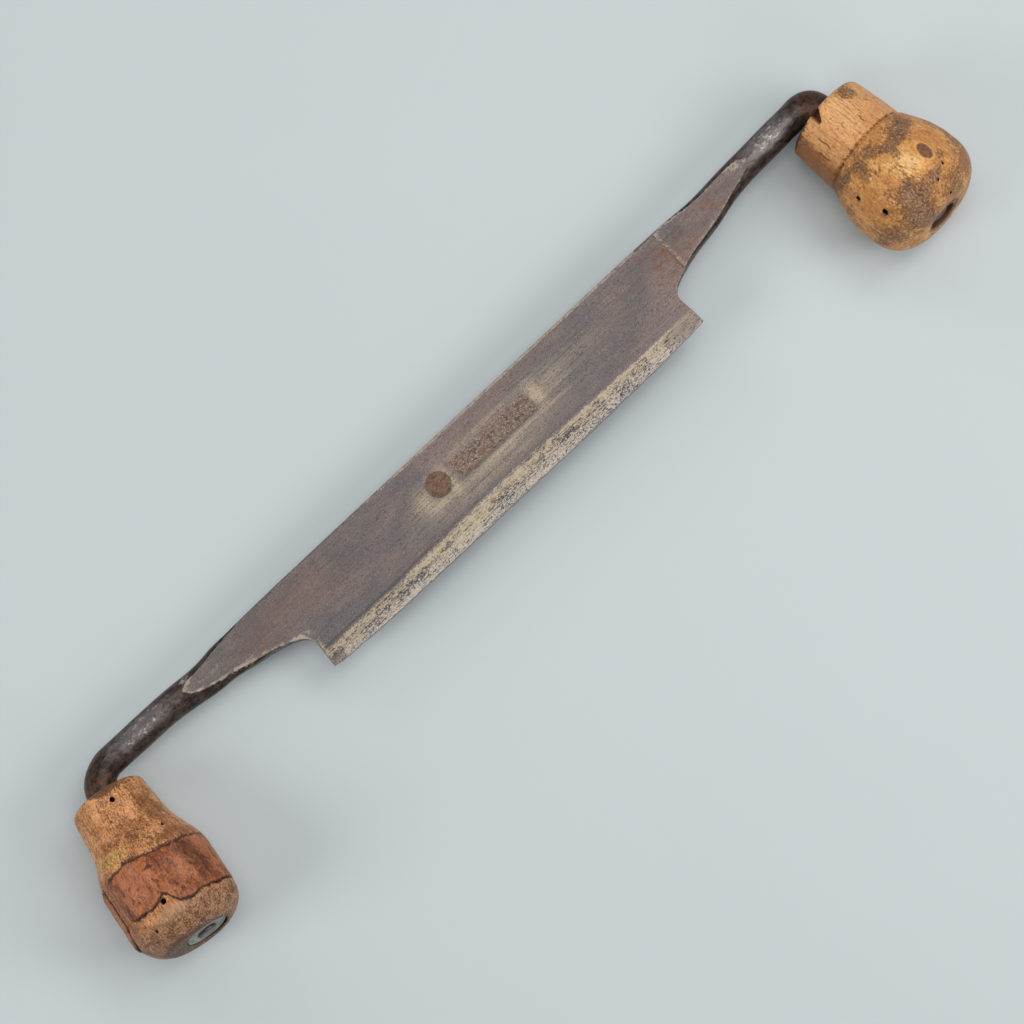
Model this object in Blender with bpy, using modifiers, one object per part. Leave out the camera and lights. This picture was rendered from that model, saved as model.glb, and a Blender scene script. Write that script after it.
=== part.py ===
"""Bent drawknife, lying on a bench on its two knobs: a forged blade whose tangs are bent
forwards, run through the whittled wooden knobs and are riveted over a rove at the end of each.

Metres, +Z up. X runs along the blade, -Y is the side of the cutting edge and the knobs, and the
origin is on the bench under the middle of the tool.
"""

import math
from collections import namedtuple

import bmesh
import bpy
from mathutils import Matrix, Vector

# Blade
EDGE_LENGTH = 0.1655  # cutting edge, heel to heel
BLADE_WIDTH = 0.0350  # back to cutting edge, at mid-length
BACK_THICKNESS = 0.0050
BEVEL_WIDTH = 0.0070
BEVEL_THICKNESS = 0.0028  # where the ground face turns into the bevel
EDGE_THICKNESS = 0.0004
EDGE_BELLY = 0.0013  # how far the middle of the edge stands ahead of its two corners
HEEL_FILLET = 0.0043
ROOT_WIDTH = 0.0184  # stock beside each heel, where the tang begins
GRIND_SHOULDER = 0.0082  # right heel to the step that ends the ground face
GRIND_STEP_LENGTH = 0.0008
GRIND_RUNOUT = 0.0300  # left heel to where the ground face fades out

# Tangs
TANG_DIAMETER = 0.0104
LEFT_TANG_LENGTH = 0.0845  # heel to the line of the handle
RIGHT_TANG_LENGTH = 0.0775
LEFT_TANG_TAPER = 0.0540  # heel to where the tang is fully round
RIGHT_TANG_TAPER = 0.0470
LEFT_TANG_SWEEP = 0.4  # how far the tang is swept back from the line of the blade, in degrees
RIGHT_TANG_SWEEP = 2.3
LEFT_BEND_RADIUS = 0.0088
RIGHT_BEND_RADIUS = 0.0075
LEFT_BEND_SWELL = 0.0008  # how far the outside of the bend stands out where the bar was upset
RIGHT_BEND_SWELL = 0.0020
LEFT_SWELL_PLACE = 0.80  # where the bend stands out most, as a share of the bend
RIGHT_SWELL_PLACE = 0.58
BEND_SWELL_REACH = 0.62  # how much of the bend is swollen on each side of that place
SPIKE_DIAMETER = 0.0074  # the tang inside the wood, at its shoulder
SPIKE_END_DIAMETER = 0.0054
HEAD_DIAMETER = 0.0070  # riveted end of the tang
HEAD_HEIGHT = 0.0007

# Set of the tool
BLADE_TILT = 13.0  # slope of the blade over the bench, in degrees
LEFT_SPLAY = 4.0  # how far the spike leans outwards, in degrees
RIGHT_SPLAY = 3.7
LEFT_CANT = 3.2  # how much further than its spike the knob leans out, in degrees
RIGHT_CANT = 0.8

# Left knob, a pear whittled from a branch
LEFT_LENGTH = 0.0567
LEFT_NECK_RADIUS = 0.0132
LEFT_COLLAR_RADIUS = 0.0147
LEFT_COLLAR_LENGTH = 0.0141
LEFT_SWELL_SLOPE = 0.10  # rise over run where the swell leaves the collar
LEFT_SWELL_END = 0.0302
LEFT_BULGE_RADIUS = 0.0193
LEFT_END_ROUNDING = 0.0096
LEFT_END_RADIUS = 0.0088
LEFT_RECESS_DEPTH = 0.0018
LEFT_ROVE_RADIUS = 0.0075

# Right knob, a bulb on a straight collar
RIGHT_LENGTH = 0.0530
RIGHT_NECK_RADIUS = 0.0156
RIGHT_COLLAR_RADIUS = 0.0169
RIGHT_COLLAR_LENGTH = 0.0191
RIGHT_SWELL_SLOPE = 0.44
RIGHT_SWELL_END = 0.0359
RIGHT_BULGE_RADIUS = 0.0217
RIGHT_END_ROUNDING = 0.0121
RIGHT_END_RADIUS = 0.0087
RIGHT_RECESS_DEPTH = 0.0032
RIGHT_ROVE_RADIUS = 0.0052

RIM_ROUNDING = 0.0018  # edge of each neck
ROVE_THICKNESS = 0.0010

# Bark left on the widest part of the left knob
BARK_REACH = 0.0032  # how far up the swell the bark begins
BARK_MARGIN = 0.0006  # bark to where the end rounds over
BARK_THICKNESS = 0.0009
BARK_PROUD = 0.0003
BARK_SPLIT = 9.0  # width of the split along the bark, in degrees
BARK_SPLIT_AT = 52.0  # round from the top of the knob, in degrees

FIT_GAP = 0.0003  # between pieces that seat on each other

# Fineness of the surfaces
QUARTER_POINTS = 7  # points in each quarter of a forged section
TURN_STEPS = 40
ARC_STEPS = 7
FILLET_STEPS = 5
BLADE_STEPS = 16
TAPER_STEPS = 10
BEND_STEPS = 9
SQUARE_SECTION = 9.0  # exponent of a section that is nearly a rectangle
ROUND_SECTION = 2.0
TAPER_POWER = 1.5
BELLY_POWER = 4
OVERRUN = 0.004  # how far a cutter runs past the wood
SHARP_ANGLE = 35.0  # edges that turn by more degrees than this stay sharp
SAME_POINT = 0.000002

BACK_LINE = TANG_DIAMETER / 2  # the outer side of each tang is flush with the blade's back
BARK_START = LEFT_SWELL_END - BARK_REACH
BARK_END = LEFT_LENGTH - LEFT_END_ROUNDING - BARK_MARGIN
HEAD_DOME = ((0.45, 0.96), (0.80, 0.80), (1.0, 0.50))  # shares of the head's height and diameter

Knob = namedtuple(
    "Knob",
    "name length neck collar_radius collar_length swell_slope swell_end bulge rounding end recess rove",
)
Side = namedtuple("Side", "sign tang_length taper sweep bend_radius swell swell_place splay cant knob")
Station = namedtuple("Station", "origin back face")

LEFT_KNOB = Knob(
    "left",
    LEFT_LENGTH,
    LEFT_NECK_RADIUS,
    LEFT_COLLAR_RADIUS,
    LEFT_COLLAR_LENGTH,
    LEFT_SWELL_SLOPE,
    LEFT_SWELL_END,
    LEFT_BULGE_RADIUS,
    LEFT_END_ROUNDING,
    LEFT_END_RADIUS,
    LEFT_RECESS_DEPTH,
    LEFT_ROVE_RADIUS,
)
RIGHT_KNOB = Knob(
    "right",
    RIGHT_LENGTH,
    RIGHT_NECK_RADIUS,
    RIGHT_COLLAR_RADIUS,
    RIGHT_COLLAR_LENGTH,
    RIGHT_SWELL_SLOPE,
    RIGHT_SWELL_END,
    RIGHT_BULGE_RADIUS,
    RIGHT_END_ROUNDING,
    RIGHT_END_RADIUS,
    RIGHT_RECESS_DEPTH,
    RIGHT_ROVE_RADIUS,
)
LEFT = Side(
    -1,
    LEFT_TANG_LENGTH,
    LEFT_TANG_TAPER,
    math.radians(LEFT_TANG_SWEEP),
    LEFT_BEND_RADIUS,
    LEFT_BEND_SWELL,
    LEFT_SWELL_PLACE,
    math.radians(LEFT_SPLAY),
    math.radians(LEFT_CANT),
    LEFT_KNOB,
)
RIGHT = Side(
    1,
    RIGHT_TANG_LENGTH,
    RIGHT_TANG_TAPER,
    math.radians(RIGHT_TANG_SWEEP),
    RIGHT_BEND_RADIUS,
    RIGHT_BEND_SWELL,
    RIGHT_SWELL_PLACE,
    math.radians(RIGHT_SPLAY),
    math.radians(RIGHT_CANT),
    RIGHT_KNOB,
)

# Colour, roughness and metallic value of each piece
FORGED_IRON = ((0.105, 0.085, 0.078), 0.50, 0.85)
PEAR_WOOD = ((0.330, 0.185, 0.085), 0.55, 0.0)
BULB_WOOD = ((0.420, 0.240, 0.100), 0.50, 0.0)
BARK = ((0.200, 0.078, 0.040), 0.50, 0.0)
GREY_ROVE = ((0.300, 0.310, 0.280), 0.45, 0.9)
RUSTED_ROVE = ((0.110, 0.055, 0.030), 0.80, 0.4)


# Scene


def clear_scene():
    for obj in list(bpy.data.objects):
        bpy.data.objects.remove(obj)


def new_collection(name):
    collection = bpy.data.collections.new(name)
    bpy.context.scene.collection.children.link(collection)
    return collection


def new_material(name, finish):
    colour, roughness, metallic = finish
    material = bpy.data.materials.new(name)
    material.use_nodes = True
    shader = material.node_tree.nodes["Principled BSDF"]
    shader.inputs["Base Color"].default_value = (*colour, 1.0)
    shader.inputs["Roughness"].default_value = roughness
    shader.inputs["Metallic"].default_value = metallic
    return material


def new_object(name, mesh, collection, matrix=None):
    obj = bpy.data.objects.new(name, mesh)
    collection.objects.link(obj)
    if matrix is not None:
        obj.matrix_world = matrix
    return obj


def smooth(mesh):
    mesh.shade_smooth()
    mesh.set_sharp_from_angle(angle=math.radians(SHARP_ANGLE))


# Turned shapes


def profile_mesh(name, points, closed=False):
    """A line of (radius, height) points in the XZ plane, ready to be turned about Z."""
    mesh = bpy.data.meshes.new(name)
    shape = bmesh.new()
    verts = [shape.verts.new((radius, 0.0, height)) for radius, height in points]
    for first, second in zip(verts, verts[1:]):
        shape.edges.new((first, second))
    if closed:
        shape.edges.new((verts[-1], verts[0]))
    shape.to_mesh(mesh)
    shape.free()
    return mesh


def turn(obj, angle=2 * math.pi):
    screw = obj.modifiers.new("turn", "SCREW")
    screw.axis = "Z"
    screw.angle = angle
    screw.steps = TURN_STEPS
    screw.render_steps = TURN_STEPS
    screw.use_merge_vertices = angle >= 2 * math.pi
    screw.merge_threshold = SAME_POINT
    screw.use_smooth_shade = True


def knob_radius(knob, along):
    """Radius of a knob's body between its rounded neck and its rounded end."""
    if along <= knob.collar_length:
        share = along / knob.collar_length
        return knob.neck + (knob.collar_radius - knob.neck) * share
    if along >= knob.swell_end:
        return knob.bulge
    run = knob.swell_end - knob.collar_length
    share = (along - knob.collar_length) / run
    rise = knob.bulge - knob.collar_radius
    eased = share * share * (3 - 2 * share)
    leaving = share * (1 - share) ** 2
    return knob.collar_radius + rise * eased + knob.swell_slope * run * leaving


def has_bark(knob):
    return knob is LEFT_KNOB


def knob_outline(knob):
    """(radius, distance from the neck) points down the knob's outer side, neck to end."""
    points = []
    for step in range(ARC_STEPS // 2 + 1):
        turn_angle = math.pi / 2 * step / (ARC_STEPS // 2)
        radius = knob_radius(knob, RIM_ROUNDING) - RIM_ROUNDING * (1 - math.sin(turn_angle))
        points.append((radius, RIM_ROUNDING * (1 - math.cos(turn_angle))))
    round_start = knob.length - knob.rounding
    body = [knob.collar_length]
    swell_steps = 2 * ARC_STEPS
    swell_run = knob.swell_end - knob.collar_length
    body += [knob.collar_length + swell_run * step / swell_steps for step in range(1, swell_steps + 1)]
    if has_bark(knob):
        groove = BARK_THICKNESS - BARK_PROUD + FIT_GAP
        low, high = BARK_START - FIT_GAP, BARK_END + FIT_GAP
        points += [(knob_radius(knob, along), along) for along in body if along < low]
        points.append((knob_radius(knob, low), low))
        inside = [low] + [along for along in body if low < along < high] + [high]
        points += [(knob_radius(knob, along) - groove, along) for along in inside]
        points.append((end_radius(knob, high), high))
        round_start = max(round_start, high)
    else:
        points += [(knob_radius(knob, along), along) for along in body]
    for step in range(ARC_STEPS + 1):
        share = step / ARC_STEPS
        along = round_start + (knob.length - round_start) * math.sin(math.pi / 2 * share)
        if along > points[-1][1] + FIT_GAP / 2 or step == ARC_STEPS:
            points.append((end_radius(knob, along), along))
    return points


def end_radius(knob, along):
    """Radius where the knob rounds over to its end: a quarter of an ellipse."""
    reach = max(0.0, along - (knob.length - knob.rounding)) / knob.rounding
    return knob.end + (knob.bulge - knob.end) * math.sqrt(max(0.0, 1 - min(1.0, reach) ** 2))


# Where the pieces lie


def blade_station(along):
    """Origin and cross directions of a section at a distance along the blade."""
    tilt = math.radians(BLADE_TILT)
    back = Vector((0.0, math.cos(tilt), -math.sin(tilt)))
    face = Vector((0.0, math.sin(tilt), math.cos(tilt)))
    return Station(Vector((along, 0.0, 0.0)), back, face)


def tang_station(side, beyond):
    """Section of a tang at a distance beyond its heel: the tang eases into its sweep as it tapers."""
    level = blade_station(side.sign * (EDGE_LENGTH / 2 + beyond))
    run = side.taper - HEEL_FILLET
    share = min(1.0, max(0.0, (beyond - HEEL_FILLET) / run))
    offset = math.tan(side.sweep) * (run * share**3 * (1 - share / 2) + max(0.0, beyond - side.taper))
    turn_angle = side.sign * side.sweep * share * share * (3 - 2 * share)
    back = Matrix.Rotation(turn_angle, 3, level.face) @ level.back
    return Station(level.origin + level.back * offset, back, level.face)


def spread(side, lean, elevation):
    """Unit vector that points forwards, leaning outwards and up."""
    level = math.cos(elevation)
    return Vector((side.sign * math.sin(lean) * level, -math.cos(lean) * level, math.sin(elevation)))


def tang_path(side, elevation):
    """The bend of one tang: where it starts, what it turns about and by how much, and the spike's axis."""
    corner = tang_station(side, side.tang_length)
    out = corner.back.cross(corner.face) * side.sign
    axis = spread(side, side.splay, elevation)
    turn_angle = out.angle(axis)
    turn_axis = out.cross(axis).normalized()
    inward = (axis - out * axis.dot(out)).normalized()
    start = corner.origin - out * side.bend_radius * math.tan(turn_angle / 2)
    return Station(start, corner.back, corner.face), inward, turn_axis, turn_angle, axis


def neck_point(side, elevation):
    start, inward, turn_axis, turn_angle, axis = tang_path(side, elevation)
    centre = start.origin + inward * side.bend_radius
    end = centre + Matrix.Rotation(turn_angle, 3, turn_axis) @ (-inward * side.bend_radius)
    return end + axis * FIT_GAP


def lowest_point(knob, elevation):
    """(height under the middle of the neck, distance from the neck) of the knob's lowest point."""
    heights = []
    for radius, along in knob_outline(knob):
        if has_bark(knob) and BARK_START <= along <= BARK_END:
            radius = knob_radius(knob, along) + BARK_PROUD
        heights.append((along * math.sin(elevation) - radius * math.cos(elevation), along))
    return min(heights)


def knob_elevation(side):
    """How far a handle points up when it lies on its neck and its bulge at once."""
    low, high = 0.0, math.radians(60)
    for _ in range(40):
        middle = (low + high) / 2
        if lowest_point(side.knob, middle)[1] > side.knob.collar_length:
            low = middle
        else:
            high = middle
    return high


def tang_height(side, elevation):
    """Height of the tang's axis over the bench when the handle lies on it."""
    return -lowest_point(side.knob, elevation)[0] - neck_point(side, elevation).z


def axis_matrix(point, axis):
    """Placement with local Z along axis and local X as near to upright as it can be."""
    up = Vector((0.0, 0.0, 1.0))
    across = axis.cross(up).normalized()
    upright = across.cross(axis)
    turned = Matrix((upright, axis.cross(upright), axis)).transposed().to_4x4()
    return Matrix.Translation(point) @ turned


# Forged blade


def section(width, thickness, squareness, back=BACK_LINE):
    """(y, z) points of a forged section, from its upper back corner forwards and round."""
    points = []
    for step in range(4 * QUARTER_POINTS):
        angle = math.radians(135 - 90 * step / QUARTER_POINTS)
        across = math.copysign(abs(math.cos(angle)) ** (2 / squareness), math.cos(angle))
        rise = math.copysign(abs(math.sin(angle)) ** (2 / squareness), math.sin(angle))
        points.append((back - width / 2 - across * width / 2, rise * thickness / 2))
    return points


def ground_height(y):
    """Height of the ground upper face at a distance across the blade."""
    run = BLADE_WIDTH - BEVEL_WIDTH
    return BACK_THICKNESS / 2 - (BACK_THICKNESS - BEVEL_THICKNESS) * (BACK_LINE - y) / run


def grind(points, share):
    """Takes the upper face down to the ground plane, wholly at a share of 1."""
    return [
        (y, z - share * max(0.0, z - ground_height(y)) if z > 0 else z)
        for y, z in points
    ]


def flatten(points, share):
    """Lets the underside down to one flat plane, wholly at a share of 1, but for its back corner."""
    under = min(z for y, z in points)
    flat = range(2 * QUARTER_POINTS, 3 * QUARTER_POINTS - 1)
    return [
        (y, z + share * (under - z) if step in flat else z)
        for step, (y, z) in enumerate(points)
    ]


def blade_section(along):
    """The blade's wedge, its bevel and its edge at a distance along the blade."""
    stock = section(ROOT_WIDTH + HEEL_FILLET, BACK_THICKNESS, SQUARE_SECTION)
    points = flatten(grind(stock, 1.0), 1.0)
    belly = EDGE_BELLY * abs(2 * along / EDGE_LENGTH) ** BELLY_POWER
    edge_y = BACK_LINE - BLADE_WIDTH + belly
    bevel_y = edge_y + BEVEL_WIDTH
    under = points[2 * QUARTER_POINTS][1]
    bevel_z = under + BEVEL_THICKNESS
    edge_z = under + EDGE_THICKNESS
    front = [
        (bevel_y, bevel_z),
        ((bevel_y + edge_y) / 2, (bevel_z + edge_z) / 2),
        (edge_y, edge_z),
        (edge_y, under),
        ((bevel_y + edge_y) / 2, under),
        (bevel_y, under),
    ]
    points[QUARTER_POINTS + 1 : 2 * QUARTER_POINTS] = front
    return points


def root_section(side, beyond):
    """The section between a heel and the round tang, at a distance beyond the heel."""
    if beyond < HEEL_FILLET:
        hollow = math.sqrt(HEEL_FILLET**2 - (HEEL_FILLET - beyond) ** 2)
        width, share = ROOT_WIDTH + HEEL_FILLET - hollow, 0.0
    else:
        share = min(1.0, (beyond - HEEL_FILLET) / (side.taper - HEEL_FILLET))
        width = TANG_DIAMETER + (ROOT_WIDTH - TANG_DIAMETER) * (1 - share) ** TAPER_POWER
    thickness = BACK_THICKNESS + (TANG_DIAMETER - BACK_THICKNESS) * share * share * (3 - 2 * share)
    squareness = SQUARE_SECTION * (ROUND_SECTION / SQUARE_SECTION) ** share
    stock = section(width, thickness, squareness)
    return flatten(grind(stock, ground_share(side, beyond)), 1 - share)


def ground_share(side, beyond):
    """How much of the grinding is left at a distance beyond a heel."""
    if side is LEFT:
        fade = beyond / GRIND_RUNOUT
    else:
        fade = (beyond - GRIND_SHOULDER) / GRIND_STEP_LENGTH
    return 1 - min(1.0, max(0.0, fade))


def ring(station, points):
    return [station.origin + station.back * y + station.face * z for y, z in points]


def round_ring(station, diameter):
    return ring(station, section(diameter, diameter, ROUND_SECTION, back=diameter / 2))


def bend_section(side, share):
    """The round bar at a share of its bend, swollen on the outside."""
    near = max(0.0, 1 - ((share - side.swell_place) / BEND_SWELL_REACH) ** 2)
    swell = side.swell * near * near
    stock = section(TANG_DIAMETER, TANG_DIAMETER, ROUND_SECTION)
    return [(y + swell * max(0.0, y / BACK_LINE) ** 2, z) for y, z in stock]


def moved(station, axis, distance):
    return Station(station.origin + axis * distance, station.back, station.face)


def root_distances(side):
    """Where sections are taken between a heel and the bend, measured from the heel."""
    arc = [
        HEEL_FILLET * (1 - math.cos(math.pi / 2 * step / FILLET_STEPS))
        for step in range(FILLET_STEPS)
    ]
    taper = [
        HEEL_FILLET + (side.taper - HEEL_FILLET) * step / TAPER_STEPS
        for step in range(TAPER_STEPS + 1)
    ]
    distances = arc + taper
    if side is RIGHT:
        distances += [GRIND_SHOULDER, GRIND_SHOULDER + GRIND_STEP_LENGTH]
    return sorted(distances)


def tang_rings(side, elevation):
    """Sections from the heel along the tang, round the bend and down the spike to its riveted head."""
    rings = []
    for beyond in root_distances(side):
        rings.append(ring(tang_station(side, beyond), root_section(side, beyond)))

    start, inward, turn_axis, turn_angle, axis = tang_path(side, elevation)
    centre = start.origin + inward * side.bend_radius
    for step in range(BEND_STEPS + 1):
        turned = Matrix.Rotation(turn_angle * step / BEND_STEPS, 3, turn_axis)
        origin = centre + turned @ (-inward * side.bend_radius)
        shoulder = Station(origin, turned @ start.back, turned @ start.face)
        rings.append(ring(shoulder, bend_section(side, step / BEND_STEPS)))

    head_seat = FIT_GAP + side.knob.length - side.knob.recess + FIT_GAP + ROVE_THICKNESS + FIT_GAP
    head = moved(shoulder, axis, head_seat)
    rings.append(round_ring(shoulder, SPIKE_DIAMETER))
    rings.append(round_ring(head, SPIKE_END_DIAMETER))
    rings.append(round_ring(head, HEAD_DIAMETER))
    for share, size in HEAD_DOME:
        rings.append(round_ring(moved(head, axis, HEAD_HEIGHT * share), HEAD_DIAMETER * size))
    return rings


def loft(name, rings):
    """One closed skin through sections of equally many points, flat at both ends."""
    mesh = bpy.data.meshes.new(name)
    shape = bmesh.new()
    loops = [[shape.verts.new(point) for point in points] for points in rings]
    for first, second in zip(loops, loops[1:]):
        for step in range(len(first)):
            after = (step + 1) % len(first)
            shape.faces.new((first[step], first[after], second[after], second[step]))
    shape.faces.new(loops[0])
    shape.faces.new(loops[-1])
    bmesh.ops.remove_doubles(shape, verts=shape.verts, dist=SAME_POINT)
    bmesh.ops.recalc_face_normals(shape, faces=shape.faces)
    shape.to_mesh(mesh)
    shape.free()
    smooth(mesh)
    return mesh


def make_blade(elevations, parts):
    rings = list(reversed(tang_rings(LEFT, elevations[LEFT])))
    for step in range(BLADE_STEPS + 1):
        along = EDGE_LENGTH * (step / BLADE_STEPS - 0.5)
        rings.append(ring(blade_station(along), blade_section(along)))
    rings += tang_rings(RIGHT, elevations[RIGHT])
    blade = new_object("blade", loft("blade", rings), parts)
    blade.data.materials.append(new_material("forged_iron", FORGED_IRON))
    return blade


# Knobs and roves


def spike_diameter(side, along):
    """Diameter of the spike at a distance from the neck's face."""
    run = side.knob.length - side.knob.recess + 3 * FIT_GAP + ROVE_THICKNESS
    share = (along + FIT_GAP) / run
    return SPIKE_DIAMETER + (SPIKE_END_DIAMETER - SPIKE_DIAMETER) * share


def make_bore_cutter(side, matrix, cutters):
    """What is bored out of a knob: a tapered hole for the spike and a recess for the rove."""
    floor = side.knob.length - side.knob.recess
    top = side.knob.length + OVERRUN
    recess_radius = side.knob.rove + FIT_GAP
    points = [
        (0.0, top),
        (recess_radius, top),
        (recess_radius, floor),
        (spike_diameter(side, floor) / 2 + FIT_GAP, floor),
        (spike_diameter(side, -OVERRUN) / 2 + FIT_GAP, -OVERRUN),
        (0.0, -OVERRUN),
    ]
    name = side.knob.name + "_bore_cutter"
    cutter = new_object(name, profile_mesh(name, points), cutters, matrix)
    turn(cutter)
    cutter.hide_render = True
    cutter.display_type = "WIRE"
    return cutter


def make_handle(side, elevation, finish, parts, cutters):
    knob = side.knob
    neck = neck_point(side, elevation)
    spike_matrix = axis_matrix(neck, spread(side, side.splay, elevation))
    body_matrix = axis_matrix(neck, spread(side, side.splay + side.cant, elevation))
    outline = [(0.0, 0.0)] + knob_outline(knob) + [(0.0, knob.length)]
    name = knob.name + "_handle"
    handle = new_object(name, profile_mesh(name, outline[::-1]), parts, body_matrix)
    turn(handle)
    bore = handle.modifiers.new("bore", "BOOLEAN")
    bore.operation = "DIFFERENCE"
    bore.object = make_bore_cutter(side, spike_matrix, cutters)
    handle.data.materials.append(new_material(name, finish))
    return handle


def make_rove(side, elevation, finish, parts):
    """Washer on the floor of the recess, under the riveted head."""
    low = side.knob.length - side.knob.recess + FIT_GAP
    high = low + ROVE_THICKNESS
    hole = spike_diameter(side, low) / 2 + FIT_GAP
    outer = side.knob.rove
    edge = ROVE_THICKNESS / 4
    points = [(hole, high), (outer - edge, high), (outer, high - edge), (outer, low), (hole, low)]
    axis = spread(side, side.splay, elevation)
    matrix = axis_matrix(neck_point(side, elevation), axis)
    name = side.knob.name + "_rove"
    rove = new_object(name, profile_mesh(name, points, closed=True), parts, matrix)
    turn(rove)
    rove.data.materials.append(new_material(name, finish))
    return rove


def make_bark(side, elevation, parts):
    """Skin of bark round the knob's widest part, open along one split."""
    steps = 2 * ARC_STEPS
    run = BARK_END - BARK_START
    places = [BARK_END - run * step / steps for step in range(steps + 1)]
    points = [(knob_radius(side.knob, along) + BARK_PROUD, along) for along in places]
    axis = spread(side, side.splay + side.cant, elevation)
    start = Matrix.Rotation(math.radians(BARK_SPLIT_AT + BARK_SPLIT / 2), 4, "Z")
    matrix = axis_matrix(neck_point(side, elevation), axis) @ start
    name = side.knob.name + "_bark_band"
    bark = new_object(name, profile_mesh(name, points), parts, matrix)
    turn(bark, math.radians(360 - BARK_SPLIT))
    shell = bark.modifiers.new("thickness", "SOLIDIFY")
    shell.thickness = BARK_THICKNESS
    shell.offset = -1.0
    bark.data.materials.append(new_material(name, BARK))
    return bark


# Assembly


def bounds(objects):
    bpy.context.view_layer.update()
    graph = bpy.context.evaluated_depsgraph_get()
    corners = []
    for obj in objects:
        evaluated = obj.evaluated_get(graph)
        mesh = evaluated.to_mesh()
        corners += [evaluated.matrix_world @ vert.co for vert in mesh.vertices]
        evaluated.to_mesh_clear()
    low = Vector([min(corner[i] for corner in corners) for i in range(3)])
    high = Vector([max(corner[i] for corner in corners) for i in range(3)])
    return low, high


def lay_on_bench(objects, elevations, parts):
    """Hangs everything on one empty, which lays both knobs on the bench over the origin."""
    left, right = tang_height(LEFT, elevations[LEFT]), tang_height(RIGHT, elevations[RIGHT])
    tool = bpy.data.objects.new("drawknife", None)
    parts.objects.link(tool)
    for obj in objects:
        obj.parent = tool
    apart = EDGE_LENGTH + LEFT_TANG_LENGTH + RIGHT_TANG_LENGTH
    tool.rotation_euler.y = -math.atan2(right - left, apart)
    low, high = bounds([obj for obj in objects if not obj.hide_render])
    tool.location = (-(low.x + high.x) / 2, -(low.y + high.y) / 2, -low.z)


def main():
    clear_scene()
    parts = new_collection("bent_drawknife")
    cutters = new_collection("cutters")
    elevations = {side: knob_elevation(side) for side in (LEFT, RIGHT)}
    make_blade(elevations, parts)
    make_handle(LEFT, elevations[LEFT], PEAR_WOOD, parts, cutters)
    make_handle(RIGHT, elevations[RIGHT], BULB_WOOD, parts, cutters)
    make_bark(LEFT, elevations[LEFT], parts)
    make_rove(LEFT, elevations[LEFT], GREY_ROVE, parts)
    make_rove(RIGHT, elevations[RIGHT], RUSTED_ROVE, parts)
    lay_on_bench(list(parts.objects) + list(cutters.objects), elevations, parts)


main()
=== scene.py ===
import math

import bpy
import numpy as np
from mathutils import Matrix, Vector, noise


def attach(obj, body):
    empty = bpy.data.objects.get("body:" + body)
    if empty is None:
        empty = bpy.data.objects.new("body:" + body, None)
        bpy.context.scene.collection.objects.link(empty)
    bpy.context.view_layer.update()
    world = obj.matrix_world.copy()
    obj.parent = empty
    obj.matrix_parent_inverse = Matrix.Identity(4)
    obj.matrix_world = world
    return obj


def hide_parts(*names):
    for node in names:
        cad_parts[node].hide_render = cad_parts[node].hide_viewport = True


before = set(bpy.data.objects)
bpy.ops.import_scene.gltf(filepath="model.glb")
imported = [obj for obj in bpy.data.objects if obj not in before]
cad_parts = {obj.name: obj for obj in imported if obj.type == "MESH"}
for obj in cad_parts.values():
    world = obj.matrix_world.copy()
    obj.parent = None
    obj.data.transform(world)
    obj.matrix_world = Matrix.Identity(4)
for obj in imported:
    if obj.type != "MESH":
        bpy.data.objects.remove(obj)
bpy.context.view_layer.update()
print("frame loaded:", sorted(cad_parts))

mm = 0.001
toolPlace = {"roll": -0.5909, "offset": (3.826, 29.1184, 12.603)}  # how the tool lies, degrees and mm


# small helpers for modelling

def clearSelection():
    if bpy.context.object and bpy.context.object.mode != "OBJECT":
        bpy.ops.object.mode_set(mode="OBJECT")
    bpy.ops.object.select_all(action="DESELECT")


# a grid pulled onto rows of points, with its seams merged
def ringPiece(name, rings, masks, angle, closed=True):
    def wrapped(values):
        values = np.concatenate([values, values[:, :1]], 1)
        return np.concatenate([values, values[:1]], 0) if closed else values

    clearSelection()
    rings = wrapped(rings)
    rows, around = rings.shape[:2]
    bpy.ops.mesh.primitive_grid_add(x_subdivisions=around - 1, y_subdivisions=rows - 1, size=0.1)
    piece = bpy.context.object
    piece.name = name
    piece.data.name = name
    piece.data.vertices.foreach_set("co", rings.reshape(-1).astype(np.float32))
    for key, values in masks.items():
        mask = piece.data.attributes.new(key, "FLOAT", "POINT")
        mask.data.foreach_set("value", wrapped(values).reshape(-1).astype(np.float32))
    while piece.data.uv_layers:
        piece.data.uv_layers.remove(piece.data.uv_layers[0])
    piece.data.update()
    bpy.ops.object.mode_set(mode="EDIT")
    bpy.ops.mesh.select_all(action="SELECT")
    bpy.ops.mesh.remove_doubles(threshold=0.000001)
    if not closed:  # cap both open ends
        bpy.ops.mesh.select_mode(type="EDGE")
        bpy.ops.mesh.select_non_manifold(extend=False, use_wire=False, use_boundary=True,
                                         use_multi_face=False, use_non_contiguous=False, use_verts=False)
        bpy.ops.mesh.fill_holes(sides=0)
        bpy.ops.mesh.select_mode(type="VERT")
    bpy.ops.mesh.select_all(action="SELECT")
    bpy.ops.mesh.normals_make_consistent(inside=False)
    bpy.ops.object.mode_set(mode="OBJECT")
    bpy.ops.object.shade_smooth_by_angle(angle=math.radians(angle))
    return piece


def handIn(piece, node, finish):
    piece.data.materials.clear()
    piece.data.materials.append(finish)
    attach(piece, "root")
    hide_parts(node)
    print("made", piece.name, len(piece.data.polygons), "faces")


def threeOf(x, y, z):
    return np.stack(np.broadcast_arrays(x, y, z), -1).astype(float)


def roundOf(r, turn, s):  # points round an axis
    return threeOf(r * np.cos(turn), r * np.sin(turn), s)


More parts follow.
